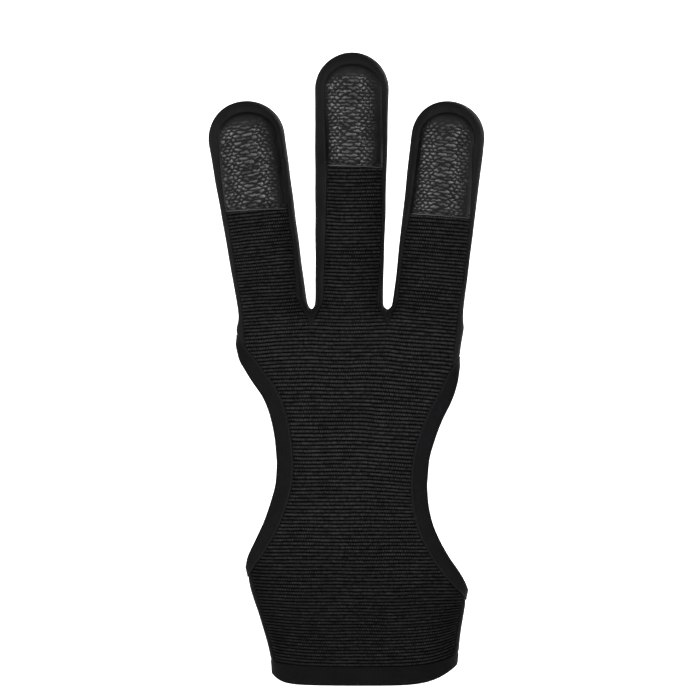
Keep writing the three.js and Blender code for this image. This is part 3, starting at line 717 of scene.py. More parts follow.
class GloveStage(PropertyGroup):
    color: color_property("Floor", "Colour of the floor and the backdrop", (0.9, 0.9, 0.9))
    drop: length_property("Floor drop", "How far the floor lies below the glove, which is held up", 0.14)
    glow: FloatProperty(name="Backdrop", description="Strength of the backdrop's own light", default=1.0, min=0)
    key: FloatProperty(name="Soft lights", description="Power of the soft light on the left in front", default=14.5,
                       min=0, unit="POWER")
    rear: FloatProperty(name="Rear light", description="Power of the soft light behind", default=26, min=0,
                        unit="POWER")
    sky: FloatProperty(name="Surroundings", description="Strength of the light from above", default=0.25, min=0)


# ---------------------------------------------------------------------------------------------------------------------
# Pieces
# ---------------------------------------------------------------------------------------------------------------------
def spread(count, even=0.5):
    """Shares from 0 to 1 that lie closer together near the ends."""
    t = np.linspace(0, 1, count + 1)
    return lerp((1 - np.cos(math.pi * t)) / 2, t, even)


def leg_seam(f, side, inset):
    along = np.linspace(FOOT, f.reach, 40)
    return in_finger(f, along, side * seam_half(f, side, along, inset), 0)


def tape_edges():
    """The lines where the bindings and the hem end on the cloth."""
    loops = [opening_loop(o, o.tape) for o in (PINKY_OPENING, THUMB_OPENING)]
    return [np.concatenate([loop, loop[:1]]) for loop in loops] + [cuff_point(np.linspace(0, 360, 200), HEM_HEIGHT)]


def dip_under_tapes(points):
    return -TAPE_DIP * (1 - smoothstep((distances(points, tape_edges()) - 0.4) / 0.8))


def joint(loop, at, towards):
    """A loop's point at a seam, moved aside by half the seam's slit."""
    step = loop[at + towards] - loop[at]
    return between(loop[at], loop[at + towards], SEAM_SLIT / np.linalg.norm(step))


def rib_fan(x):
    """How far a rib line sinks beside the webs, at the height of the fingers' feet."""
    inside = np.clip((x - WEBS[0]) / (WEBS[1] - WEBS[0]), 0, 1)
    return 0.06 * np.minimum(x - WEBS[0], 0) - 0.08 * np.maximum(x - WEBS[1], 0) - 0.45 * np.sin(math.pi * inside)


def rib_height(line, x):
    """The height at x of the rib line that crosses the webs' tips at a given height."""
    fan = smoothstep((line - 78) / 34)  # grows from the middle of the palm to the webs
    smile = 1 - smoothstep((line - HEM_TOP) / 24)  # follows the hem, and less and less further up
    # The ring finger's ribs fall outward, and so do those on the thumb's side of the palm.
    lean = 0.045 * smoothstep((line - 116) / 26) * np.minimum(x - WEBS[0], 0)
    lean = lean - 0.07 * smoothstep((line - 46) / 20) * (1 - smoothstep((line - 88) / 22)) * np.maximum(x, 0)
    return line + fan * rib_fan(x) + lean + smile * (hem_height(x, HEM_TOP) - HEM_TOP)


def rib_line(x, z):
    line = np.array(z, float)
    for _ in range(30):
        line = line - (rib_height(line, x) - z)
    return line


def edge_at(points):
    """Where each rib line meets an edge of the palm panel."""
    x, z = points[:, 0], points[:, -1]
    line = rib_line(x, z)
    return lambda value: np.interp(value, line, x)


def palm_side_edge(opening, seam_inset, f):
    """The palm panel's edge on one side: the cuff's seam, the opening and the finger's outer seam."""
    side = opening.side
    loop = cloth_loop(opening)
    leg = leg_seam(f, side, SEAM_SLIT)
    return np.concatenate([
        [cuff_seam(side, seam_inset + SEAM_SLIT), joint(loop, CUFF_JOINT, 1)],
        loop[CUFF_JOINT + 1:LOOP - JOINT], [joint(loop, LOOP - JOINT, -1)], leg,
    ])


def finger_patch(f, inset, start, rows, columns):
    """Points on the palm side of a finger inside its seam, from a line across it up to the round end."""
    u = lerp(-1, 1, columns)
    side = np.sign(u)
    top = f.reach + (f.tip_half - SEAM_TOP - inset) * np.sqrt(np.maximum(0, 1 - u * u))
    along = lerp(start(u), top, rows[:, None])
    across = u * seam_half(f, side, np.minimum(along, f.reach), inset)
    p = in_finger(f, along, across, 0)
    return palm_point(p[..., 0], p[..., 2]), across, along


# By height: the distance between the palm's ribs, and how clearly they show, less so where the cloth is stretched thin;
# the low values at the cuff are painted shade.
PALM_RIB_PITCH = smooth_curve([(5, 1.0), (30, 1.03), (55, 1.1), (85, 1.16), (110, 1.12)])
RIB_CONTRAST_AND_SHADE = smooth_curve([(0, 0.8), (25, 0.8), (48, 0.98), (75, 1.08), (100, 1.04), (120, 0.93), (190, 0.93)])


def rib_rows(low, high, pitch):
    """Rib lines and their counts from one height to another, a whole number of rows apart."""
    steps = np.linspace(low, high, 400)
    count = np.concatenate([[0], np.cumsum(np.diff(steps) / pitch((steps[1:] + steps[:-1]) / 2))])
    rows = int(round(count[-1] * ROWS_PER_RIB))
    wanted = np.linspace(0, count[-1], rows + 1)
    return np.interp(wanted, count, steps), np.arange(rows + 1) / ROWS_PER_RIB


def rib_grid(sheet, amplitude, line, count, x, seed, foot=None):
    """Rows of points along some rib lines, added to a sheet. Those of a finger start from the palm's last points."""
    wobble = RIB_WOBBLE * ripple(x, line[:, None], 18, seed) * smoothstep((line - line[0]) / 3)[:, None]
    if foot is None:
        wobble = wobble * smoothstep((line[-1] - line) / 3)[:, None]
    rows = palm_point(x, rib_height(line[:, None] + wobble, x))
    if foot is not None:
        rows[0] = foot
    lift = amplitude * np.cos(math.tau * count)[:, None] * (1 + 0.25 * ripple(x, line[:, None], 14, 5))
    sheet.add(rows, np.stack([x, np.broadcast_to(count[:, None], x.shape)], -1), lift)
    return rows, lift


def palm_lift(sheet):
    """How far the palm cloth's outer face stands out: its ribs, and dips along seams, tapes and pads."""
    p = sheet.surface
    edge = distances(p, panel_seams(SEAM_SLIT))
    cuff = cuff_share(p[:, 2])
    sunk = lerp(0.2, 0.1, cuff) * (1 - smoothstep(edge / 1.1))
    outer = sheet.height * lerp(smoothstep(edge / 0.7), 1, cuff * 0.4) - sunk + dip_under_tapes(p)
    for f in fingers.values():  # the cloth lies lower under the pads
        along, across = finger_place(f, p[:, 0], p[:, 2])
        under = smoothstep((along - (f.pad_foot + f.pad_slant * across)) / 1.0) * (np.abs(across) < f.tip_half + 1)
        outer = lerp(outer, -PAD_DIP, under)
    return outer


class GLOVE_OT_palm_panel(Operator):
    """Make the ribbed palm panel"""

    bl_idname = "glove.palm_panel"
    bl_label = "Palm panel"

    def execute(self, context):
        look = context.scene.glove_knit
        amplitude = look.rib_height * 1000 / 2
        sheet = Sheet()
        shares = spread(PALM_COLUMNS)
        left = edge_at(palm_side_edge(PINKY_OPENING, CUFF_SEAM_LEFT, ring))
        right = edge_at(palm_side_edge(THUMB_OPENING, CUFF_SEAM_RIGHT, index))
        tips = [web_line(x, -SEAM_SLIT)[0] for x in WEBS]
        tip_line = float(rib_line(tips[0][:1], tips[0][2:])[0])

        line, count = rib_rows(HEM_TOP, tip_line, PALM_RIB_PITCH)
        ends = [left(line), right(line)]
        inner = [lerp(lerp(*ends, (k + 1) / 3), tips[k][0], (line - line[0]) / (line[-1] - line[0])) for k in range(2)]
        edges = [ends[0], *inner, ends[1]]
        x = np.concatenate([lerp(a[:, None], b[:, None], shares)[:, (k > 0):]
                            for k, (a, b) in enumerate(zip(edges, edges[1:]))], axis=1)
        low, _ = rib_grid(sheet, amplitude, line, count, x, 3)
        for k, f in enumerate(fingers.values()):
            sides = [left if k == 0 else edge_at(np.concatenate([[tips[k - 1]], leg_seam(f, -1, SEAM_SLIT)])),
                     right if k == 2 else edge_at(np.concatenate([[tips[k]], leg_seam(f, 1, SEAM_SLIT)]))]
            base = in_finger(f, f.pad_foot, 0.0, 0)
            top_line = float(rib_line(base[:1], base[2:])[0]) + PAD_OVERLAP
            line, rib_count = rib_rows(tip_line, top_line, lambda z: f.rib_pitch + 0 * z)
            total = rib_count + count[-1]
            x = lerp(*(side(line)[:, None] for side in sides), shares)
            foot = low[-1, k * PALM_COLUMNS:(k + 1) * PALM_COLUMNS + 1]
            rows, lift = rib_grid(sheet, amplitude, line, total, x, 4 + k, foot)
            # Under the pad the cloth goes on to the round end.
            last_along, _ = finger_place(f, rows[-1, :, 0], rows[-1, :, 2])
            start = lambda u: np.interp(u, lerp(-1, 1, shares), last_along)
            patch, _, _ = finger_patch(f, SEAM_SLIT, start, np.linspace(0, 1, PATCH_ROWS), shares)
            patch[0] = rows[-1]
            onward = (total[-1] + np.linspace(0, PATCH_ROWS, PATCH_ROWS))[:, None]
            weave = np.stack(np.broadcast_arrays(x[-1], onward), -1)
            sheet.add(patch, weave, lift[-1] * smoothstep(1 - np.arange(PATCH_ROWS) / 2)[:, None])
        sheet.weld()
        x, _, z = sheet.surface.T
        # Painted shade: the knit is painted darker at the cuff, and more so at the cuff's sides.
        clarity_with_painted_shade = RIB_CONTRAST_AND_SHADE(z) * (1 - 0.3 * smoothstep((aside(x, z) - 0.7) / 0.25) * cuff_share(z))
        mesh_data = sheet.layered(palm_lift(sheet), -KNIT_WALL)
        obj = make_object("palm_cloth", mesh_data, ribbed_knit(look), 50, {"rib_clarity_and_shade": both(clarity_with_painted_shade)})
        put_on(obj, "palm_panel")
        return {"FINISHED"}


def panel_seams(slit):
    """The seam between the two panels, as lines of points on the palm side."""
    lines = []
    for k, f in enumerate(fingers.values()):
        u = np.sin(np.radians(np.linspace(-90, 90, 60)))
        lift = np.cos(np.radians(np.linspace(-90, 90, 60))) * (f.tip_half - SEAM_TOP)
        legs = [leg_seam(f, side, 0.0) for side in (-1, 1)]
        tip = in_finger(f, f.reach + lift, u * seam_half(f, np.sign(u), f.reach, 0.0), 0)
        lines.append(np.concatenate([legs[0], tip, legs[1][::-1]]))
    tips = [web_line(x, 0.0)[:1] for x in WEBS]
    for k, tip in enumerate(tips):
        lines.append(np.concatenate([lines[k][-1:], tip, lines[k + 1][:1]]))
    ends = []
    for opening, inset, seam in ((PINKY_OPENING, CUFF_SEAM_LEFT, lines[0][0]),
                                 (THUMB_OPENING, CUFF_SEAM_RIGHT, lines[2][-1])):
        loop = cloth_loop(opening)
        ends.append(np.array([loop[LOOP - JOINT], seam]))
        ends.append(np.array([cuff_seam(opening.side, inset), loop[CUFF_JOINT]]))
    dense = []
    for line in lines + ends:
        steps = [lerp(a, b, np.linspace(0, 1, max(2, int(np.linalg.norm(b - a) / 0.8)))[:, None])
                 for a, b in zip(line[:-1], line[1:])]
        line = np.concatenate(steps)
        dense.append(palm_point(line[:, 0], line[:, 2]))
    return dense


def round_angles(seam):
    """Angles from the seam, on the palm side, to 90 degrees at the back."""
    t = np.linspace(0, 6, 6 * FINE + 1)
    return np.where(t < 2, -seam * (1 - t / 2), 22.5 * (t - 2))


def leg_rows(f, side, along, inset):
    """Rows round one side of a finger, from its seam to the middle of its back."""
    along = np.asarray(along, float)[:, None]
    half = half_width(f, along)
    angle = np.radians(round_angles(np.degrees(np.arccos(seam_half(f, side, along, inset) / half))))
    axis = in_finger(f, along, 0.0, 0.0)
    target = in_finger(f, along, side * half * np.cos(angle), finger_depth(f, along) * np.sin(angle))
    return cast(axis, unit(target - axis))


def tip_rows(f, inset, pole):
    """Rows that fan from one side over the tip to the other, each from the seam to the tip's back."""
    turn = np.radians(np.linspace(-90, 90, 8 * FINE + 1)[1:-1])[:, None]
    width = seam_half(f, turn, f.reach, inset)
    height = f.tip_half - SEAM_TOP - inset
    inside = width * height / np.hypot(height * np.sin(turn), width * np.cos(turn))
    angle = np.radians(round_angles(np.degrees(np.arccos(inside / f.tip_half))))
    out = f.tip_half * np.cos(angle)
    centre = in_finger(f, f.reach, 0.0, 0.0)
    target = in_finger(f, f.reach, out * np.sin(turn), f.tip_depth * np.sin(angle))
    target = target + (out * np.cos(turn))[..., None] * (f.sin, 0, f.cos)
    rows = cast(centre, unit(target - centre))
    rows[:, -1] = pole
    return rows


def back_row(start, end, bow):
    """Points over the back from one side to the other, in a row that bows up or down midway."""
    def angle_of(p):
        return math.atan2(squared(max(0, p[1]) / half_depth(p[2]), SQUARENESS / 2),
                          squared((hand_middle(p[2]) - p[0]) / half_reach(p[2]), SQUARENESS / 2))

    share = np.linspace(0, 1, BACK_STEPS + 1)[1:-1]
    angle = lerp(angle_of(start), angle_of(end), share)
    z = lerp(start[2], end[2], share) + bow * np.sqrt(np.sin(math.pi * share))
    row = settle(vec(hand_middle(z) - half_reach(z) * squared(np.cos(angle), 2 / SQUARENESS),
                     half_depth(z) * squared(np.sin(angle), 2 / SQUARENESS), z))
    return np.concatenate([[start], row, [end]])


def rows_between(first, last, steps):
    """Rows of points on the form from a first row to a last one, with both."""
    share = np.linspace(0, 1, steps + 1)[1:-1, None, None]
    return np.concatenate([first[None], between(first[None], last[None], share), last[None]])


def back_folds(p):
    """The soft pulls and hollows of the stretched cloth over the back of the hand."""
    x, y, z = p.T
    back = smoothstep((y - 2) / 5)
    pull = np.sin(math.tau * (z / 6.2 + 0.5 * ripple(x, z, 42, 31)) + 0.05 * x) * np.exp(-(((z - 62) / 24) ** 2))
    # Pulls across the waist, strongest at its sides.
    height = 0.16 * pull * (0.35 + 0.65 * smoothstep((aside(x, z) - 0.25) / 0.5))
    for web in WEBS:  # hollows that run down from the webs
        beside = (x - web) / (2.2 + np.maximum(WEB_HEIGHT - z, 0) * 0.12)
        height = height - 0.5 * np.exp(-(beside**2)) * smoothstep((z - 84) / 26) * smoothstep((WEB_HEIGHT + 3 - z) / 3)
    for f in fingers.values():
        along, across = finger_place(f, x, z)
        on = (along > 3) & (np.abs(across) < f.tip_half + 2)
        for place, deep in ((0.36, 0.14), (0.66, 0.1)):  # creases over the two joints of the finger
            crease = np.sin(math.tau * (along - place * f.reach) / 3.6 + 0.4 * ripple(across, along, 12, 33))
            height = height + on * deep * crease * np.exp(-(((along - place * f.reach) / 4.5) ** 2))
    return back * height


class GLOVE_OT_back_panel(Operator):
    """Make the smooth back panel"""

    bl_idname = "glove.back_panel"
    bl_label = "Back panel"

    def execute(self, context):
        look = context.scene.glove_jersey
        sheet = Sheet()
        feet = []
        for f in fingers.values():
            left, right = (leg_rows(f, side, np.linspace(FOOT, f.reach, LEG_ROWS), -SEAM_SLIT) for side in (-1, 1))
            right[:, -1] = left[:, -1]
            fan = np.concatenate([left[-1:], tip_rows(f, -SEAM_SLIT, left[-1, -1]), right[-1:]])
            sheet.add(left).add(right).add(fan)
            feet.append((left[0], right[0]))
        side = 4 * FINE  # where the web meets the back
        webs = []
        for k, x in enumerate(WEBS):
            line = web_line(x, SEAM_SLIT)
            a, b = feet[k][1][:side + 1], feet[k + 1][0][:side + 1]
            share = np.linspace(0, 1, 2 * FINE + 1)[1:-1, None, None]
            rows = np.concatenate([a[None], between(a, line, share), line[None],
                                   between(b, line, share)[::-1], b[None]])
            webs.append(rows.swapaxes(0, 1))
            sheet.add(webs[-1])
        (ring_left, ring_right), (middle_left, middle_right), (index_left, index_right) = feet
        top = np.concatenate([
            ring_left, ring_right[side:-1][::-1], webs[0][side][1:-1], middle_left[side:], middle_right[side:-1][::-1],
            webs[1][side][1:-1], index_left[side:], index_right[:-1][::-1],
        ])
        loops = [cloth_loop(o) for o in (PINKY_OPENING, THUMB_OPENING)]

        def row_at(k, bow):
            return back_row(*(loop[(LOOP + k) % len(loop)] for loop in loops), bow)

        high, low = row_at(0, ROW_BOW), row_at(LOOP, -ROW_BOW)
        upper = [np.concatenate([[joint(loop, LOOP - JOINT, 1)], loop[LOOP - JOINT + 1:LOOP]]) for loop in loops]
        lower = [np.concatenate([[joint(loop, CUFF_JOINT, -1)], loop[CUFF_JOINT - 1:0:-1]]) for loop in loops]
        sheet.add(rows_between(top, np.concatenate([upper[0], high, upper[1][::-1]]), SHOULDER_ROWS))
        waist = [row_at(k, ROW_BOW * (1 - 2 * k / LOOP)) for k in range(1, LOOP)]
        sheet.add(np.stack([high, *waist, low]))
        hem = []
        for opening, inset, degrees in ((PINKY_OPENING, CUFF_SEAM_LEFT, 0), (THUMB_OPENING, CUFF_SEAM_RIGHT, 180)):
            seam, end = cuff_seam(opening.side, inset - SEAM_SLIT), cuff_point(degrees, HEM_TOP)
            p = between(seam, end, np.linspace(0, 1, CUFF_JOINT + 1)[1:-1, None])
            hem.append(np.concatenate([[seam], settle(vec(p[:, 0], p[:, 1], hem_height(p[:, 0], HEM_TOP)))]))
        back = cuff_point(np.linspace(0, 180, BACK_STEPS + 1), HEM_TOP)
        sheet.add(rows_between(np.concatenate([lower[0], low, lower[1][::-1]]),
                               np.concatenate([hem[0], back, hem[1][::-1]]), CUFF_ROWS))
        sheet.weld()
        p = sheet.surface
        edge = distances(p, panel_seams(0.0))
        roll = smooth_curve([(0, -0.04), (0.4, 0.16), (0.9, 0.34), (1.4, 0.38), (2.6, 0.24), (4.5, 0.07), (7, 0)])(edge)
        cuff = cuff_share(p[:, 2])
        roll = roll * np.where(roll > 0, look.roll * 1000 / 0.42, 1) * (1 - 0.3 * cuff)
        outer = roll + dip_under_tapes(p) + 0.07 * ripple(p[:, 0] + p[:, 1], p[:, 2], 16, 11)
        grooves = distances(p, [web_line(x, 0.0) for x in WEBS])
        outer = outer - 0.3 * (1 - smoothstep(grooves / 0.8)) + back_folds(p)
        # Painted shade: the back cloth is painted darker on the cuff's palm side, which turns away from the light.
        front = cuff * smoothstep((2 - p[:, 1]) / 4)
        mesh_data = sheet.layered(outer, -BACK_WALL)
        obj = make_object("back_cloth", mesh_data, jersey(look), 50, {"shaded": both(front)})
        put_on(obj, "back_panel")
        return {"FINISHED"}


# Across a pad, counted in pebbles: they are long midway, where the leather is pressed together along the finger.
PEBBLE_COUNT = smooth_curve([(-13, -10.2), (-4.5, -3.6), (-2.5, -2.3), (2, -0.9), (4, 0.4), (13, 7.2)])


def pebbles(across, along, size, seed):
    """Height from 0 to 1 of a pebbled grain, with narrow creases between rounded pebbles."""
    random = np.random.default_rng(seed)
    low, high = along.min() - 2 * size, along.max() + 2 * size
    wide = np.abs(across).max() + 2 * size
    grid = np.stack(np.meshgrid(np.arange(-wide, wide, size), np.arange(low, high, size * 0.87)), -1)
    grid[1::2, :, 0] += size / 2
    seeds = grid.reshape(-1, 2) + random.uniform(-0.22, 0.22, (grid.size // 2, 2)) * size
    tall = random.uniform(0.55, 1.0, len(seeds))
    tree = KDTree(len(seeds))
    for i, (x, y) in enumerate(seeds):
        tree.insert((x, y, 0), i)
    tree.balance()
    warp = 0.17 * size
    x = PEBBLE_COUNT(across) + warp * ripple(across, along, 1.9 * size, seed + 1)
    y = along + warp * ripple(across, along, 1.9 * size, seed + 2)
    found = [tree.find_n((a, b, 0), 2) for a, b in zip(x.ravel(), y.ravel())]
    near = np.array([f[0][2] for f in found]).reshape(x.shape) / size
    gap = np.array([f[1][2] for f in found]).reshape(x.shape) / size - near
    height = tall[np.array([f[0][1] for f in found])].reshape(x.shape)
    step = np.array([f[1][0] - f[0][0] for f in found])
    upright = (np.abs(step[:, 1]) / np.linalg.norm(step, axis=1)).reshape(x.shape)
    crease = np.exp(-((gap / 0.4) ** 2)) * lerp(0.7, 1, upright**2)
    return (1 - crease) * (1 - 0.45 * near**2) * height


def stitch(at, direction, up, length, radius):
    """A short rounded thread lying along a direction."""
    side = np.cross(up, direction)
    rings = [(-0.5, 0.0), (-0.42, 0.7), (-0.2, 1.0), (0.2, 1.0), (0.42, 0.7), (0.5, 0.0)]
    turn = np.linspace(0, math.tau, 8, endpoint=False)[:, None]
    round_ = np.cos(turn) * side + np.sin(turn) * up
    return np.stack([at + direction * length * share + up * (0.1 - share * share * 0.9) * radius
                     + round_ * radius * thick for share, thick in rings])


def stitch_row(points, across, above, body):
    """The points and the faces of the row of stitches along a pad's cut edge."""
    span = float(np.abs(across[0]).max())
    threads = []
    for x in np.arange(-math.floor(span / STITCH_STEP) * STITCH_STEP, span, STITCH_STEP):
        if abs(x) > span - 0.9:  # too near the pad's corner
            continue
        column = int(np.argmin(np.abs(across[12] - x)))
        row = int(np.argmin(np.abs(above[:, column] - STITCH_ROW)))
        p = points[row, column]
        up = unit(slope(p))
        direction = unit(points[row, min(column + 3, PAD_COLUMNS)] - points[row, column - 3])
        threads.append(stitch(p + up * (body[row, column] - 0.06), direction, up, STITCH_LENGTH, STITCH_RADIUS))
    rings, n = threads[0].shape[:2]
    i, j = np.divmod(np.arange((rings - 1) * n), n)
    quads = np.stack([i * n + j, i * n + (j + 1) % n, (i + 1) * n + (j + 1) % n, (i + 1) * n + j], -1)
    return np.concatenate(threads).reshape(-1, 3), np.concatenate([quads + k * rings * n for k in range(len(threads))])


def pad_relief(f, look, seed, across, along, above):
    """A pad's crowned body, how clear its pebbles are at each place, and its colour's mask along the cut edge; both
    masks paint the thumb's side darker as painted shade.
    """
    rim = np.stack([across, along], -1)
    rim = np.concatenate([rim[:, 0], rim[-1], rim[::-1, -1]])
    rim = np.concatenate([rim, np.zeros((len(rim), 1))], -1)
    edge = distances(vec(across, along, 0).reshape(-1, 3), [rim]).reshape(across.shape)
    body = smooth_curve([(0, 0.08), (0.35, 0.3), (0.9, 0.52), (2.0, 0.74), (4, 0.82)])(edge)
    crest = pebbles(across, along, look.pebble * 1000, seed)
    # Smooth at the top, and where it turns to the thumb's side, whose colour this also paints darker as painted shade.
    crest = lerp(0.42, crest, lerp(0.12, 1, smoothstep((f.top - along - 2.2) / 4.5)))
    crest = lerp(crest, 0.2, 0.9 * smoothstep((across - 4.6) / 2.8))
    calm = smoothstep((edge - 0.3) / 1.2) * smoothstep((above - 0.1) / 0.5)
    width = seam_half(f, np.sign(across), np.minimum(along, f.reach), PAD_INSET)
    # The cut edge is painted lighter, fading to half towards the thumb's side as painted shade.
    cut = (1 - smoothstep(above / 0.32)) * smoothstep((width - np.abs(across)) / 1.5)
    return body, crest * calm, cut * lerp(1.0, 0.5, smoothstep((across + 5) / 9))


class GLOVE_OT_tip_pads(Operator):
    """Make the leather pads of the three fingertips"""

    bl_idname = "glove.tip_pads"
    bl_label = "Tip pads"

    def execute(self, context):
        look = context.scene.glove_leather
        material, thread_material = pad_leather(look), thread(look)
        for number, (name, f) in enumerate(fingers.items()):
            columns, rows = spread(PAD_COLUMNS, 0.65), np.linspace(0, 1, PAD_ROWS + 1)
            start = lambda u: f.pad_foot + f.pad_slant * u * f.tip_half
            points, across, along = finger_patch(f, PAD_INSET, start, rows, columns)
            above = along - along[0]
            body, crest, cut = pad_relief(f, look, look.seed + 10 * number, across, along, above)
            groove = np.exp(-(((above - STITCH_ROW) / 0.3) ** 2))
            holes = np.exp(-(((np.mod(across, STITCH_STEP) - STITCH_STEP / 2) / 0.22) ** 2))
            lift = body + crest * look.relief * 1000 - groove * (0.14 + 0.22 * holes)
            lift = lift - 0.12 * (1 - smoothstep(above / 0.35))
            sheet = Sheet().add(points, np.stack([across, along], -1), lift).weld()
            crest, cut = (Sheet().add(points, None, values).weld().height for values in (crest, cut))
            surface, faces, weave = sheet.layered(sheet.height, -PAD_BOND)
            threads, quads = stitch_row(points, across, above, body)
            mesh_data = (np.concatenate([surface, threads]), faces + (quads + len(surface)).tolist(),
                         np.concatenate([weave, np.zeros((4 * len(quads), 2))]))
            plain = np.zeros(len(threads))
            values = {"crest": np.concatenate([crest, 0 * crest, plain]), "cut": np.concatenate([cut, cut, plain])}
            obj = make_object(f"{name}_pad_leather", mesh_data, material, 60, values)
            obj.data.materials.append(thread_material)
            for polygon in obj.data.polygons[len(faces):]:
                polygon.material_index = 1
            put_on(obj, f"{name}_tip_pad")
        return {"FINISHED"}


def folded_tape(width, leaf, bead, wall):
    """Section of a tape folded over an edge: (inset from the fold, height, bead), once round."""
    top, under, low = leaf, -0.02, -wall - 0.02
    return [
        (width, 0.0, 0), (width - 0.04, top * 0.6, 0.6), (width - 0.16, top * 0.9 + bead, 1),
        (width - 0.36, top + bead, 1), (width - 0.56, top * 0.95 + bead * 0.7, 0.5), (width - 0.78, top * 0.86, 0),
        (width - 1.2, top * 0.84, 0), (width * 0.6, top * 0.9, 0), (width * 0.4, top * 0.98, 0), (1.3, top, 0),
        (0.75, top * 0.86, 0), (0.32, top * 0.4, 0), (0.07, -0.25, 0), (0.0, -wall / 2, 0), (0.07, 0.25 - wall, 0),
        (0.32, -wall - top * 0.4, 0), (0.75, -wall - top * 0.86, 0), (1.3, -wall - top, 0),
        (width * 0.6, -wall - top * 0.95, 0), (width - 0.3, -wall - top * 0.85, 0), (width, -wall - top * 0.4, 0),
        (width, low, 0), (width - 0.4, low, 0), (1.3, low, 0), (0.85, -wall * 0.75, 0), (0.75, -wall / 2, 0),
        (0.85, -wall * 0.25, 0), (1.3, under, 0), (width - 0.4, under, 0),
    ]


def tape_mesh(section, lines, uneven, sides):
    """A closed tape whose section runs round a loop. lines gives the loop at each inset, and sides is how near each
    place of the loop is to the glove's sides, where the tape lies thinner."""
    inset, height, bead = np.array(section, float).T
    loops = lines(inset)
    closed = np.concatenate([loops, loops[:, :1]], 1)
    run = np.linalg.norm(np.diff(closed, axis=1), axis=-1).cumsum(1)
    run = np.concatenate([run[:, :1] * 0, run], 1)
    length = run[len(section) // 2, -1]
    up = unit(slope(loops))
    outside = (height > 0.05)[:, None]
    flat = 1 - 0.65 * sides * (height > 0)[:, None]
    rough = uneven * ripple(run[:, :-1] / run[:, -1:] * length, inset[:, None] * 1.5, 11, 21)
    lift = height[:, None] * flat + outside * (1 - 0.8 * sides) * rough
    rows = loops + up * lift[..., None]
    rows = np.concatenate([rows, rows[:1]])
    rows = np.concatenate([rows, rows[:, :1]], 1)
    folded = np.concatenate([inset, inset[:1]])
    around = np.concatenate([[0], np.hypot(np.diff(folded), np.diff(np.append(height, height[0]))).cumsum()])
    run = np.concatenate([run, run[:1]])
    sheet = Sheet().add(rows, np.stack([np.broadcast_to(around[:, None], run.shape), run], -1),
                        np.append(bead, bead[0])[:, None]).weld()
    return sheet.closed(), sheet.height, length


class GLOVE_OT_bindings(Operator):
    """Make the folded tapes round the two side openings"""

    bl_idname = "glove.bindings"
    bl_label = "Side bindings"

    def execute(self, context):
        look = context.scene.glove_tape
        material = binding_tape(look)
        for name, opening in (("pinky_side", PINKY_OPENING), ("thumb_side", THUMB_OPENING)):
            section = folded_tape(opening.tape, look.leaf * 1000, look.bead * 1000, KNIT_WALL)
            fold = opening_loop(opening, 0.0)[:, 2]
            sides = np.abs(2 * (fold - opening.bottom) / (opening.top - opening.bottom) - 1) ** 5
            mesh_data, bead, length = tape_mesh(section, lambda inset: opening_loop(opening, inset), 0.05, sides)
            # The bead attribute carries the painted highlight along the ridge.
            obj = make_object(f"{name}_tape", mesh_data, material, 65, {"bead": bead * 0.28})
            put_on(obj, f"{name}_binding")
        return {"FINISHED"}


class GLOVE_OT_wrist_hem(Operator):
    """Make the hem round the wrist"""

    bl_idname = "glove.wrist_hem"
    bl_label = "Wrist hem"

    def execute(self, context):
        look = context.scene.glove_tape
        section = folded_tape(HEM_HEIGHT, look.leaf * 700, 0.0, KNIT_WALL)
        degrees = np.linspace(0, 360, HEM_STEPS + 1)[:-1]
        sides = np.cos(np.radians(degrees)) ** 4
        mesh_data, bead, length = tape_mesh(section, lambda inset: cuff_point(degrees, inset[:, None]), 0.04, sides)
        # Painted shade: the hem's tape is a darker copy of the binding tape.
        obj = make_object("wrist_hem_tape", mesh_data, binding_tape(look, "hem_tape", 0.78), 65, {"bead": 0 * bead})
        width = 2 * np.mean((cuff_point(degrees, HEM_HEIGHT) - cuff_point(degrees, 0))[:, 2]) + KNIT_WALL
        put_on(obj, "wrist_hem")
        return {"FINISHED"}


STAGE_RADIUS, STAGE_HEIGHT, STAGE_CURVE, STAGE_WALL = 3.0, 0.9, 0.5, 0.02
GLOW_FROM, GLOW_FULL, GLOW_NEAR = 0.8, 3.4, 0.12  # the backdrop glows more by the square of the distance
LOOKED_AT = (-0.004, 0, 0.10)
SOFTBOXES = (  # name, place, width, height, and the setting and the share of it that give its power
    ("left_softbox", (-1.05, -1.25, 0.42), 0.9, 0.95, "key", 1.0),
    ("right_softbox", (0.77, -1.45, 0.42), 0.26, 0.95, "key", 0.5),
    ("front_softbox", (0.1, -1.9, 0.95), 2.0, 0.9, "key", 1.25),
    ("rear_softbox", (0.6, 1.5, 0.6), 0.8, 0.45, "rear", 1.0),
)
CAMERA_AWAY, PICTURE_WIDTH, FILM_WIDTH = 1.5, 0.21, 36


def add_softbox(name, place, width, height, power):
    bpy.ops.object.light_add(type="AREA", location=place)
    light = bpy.context.object
    light.name = name
    light.rotation_euler = (Vector(LOOKED_AT) - Vector(place)).to_track_quat("-Z", "Y").to_euler()
    light.data.shape = "RECTANGLE"
    light.data.size, light.data.size_y = width, height
    light.data.energy = power
    light.visible_camera = False


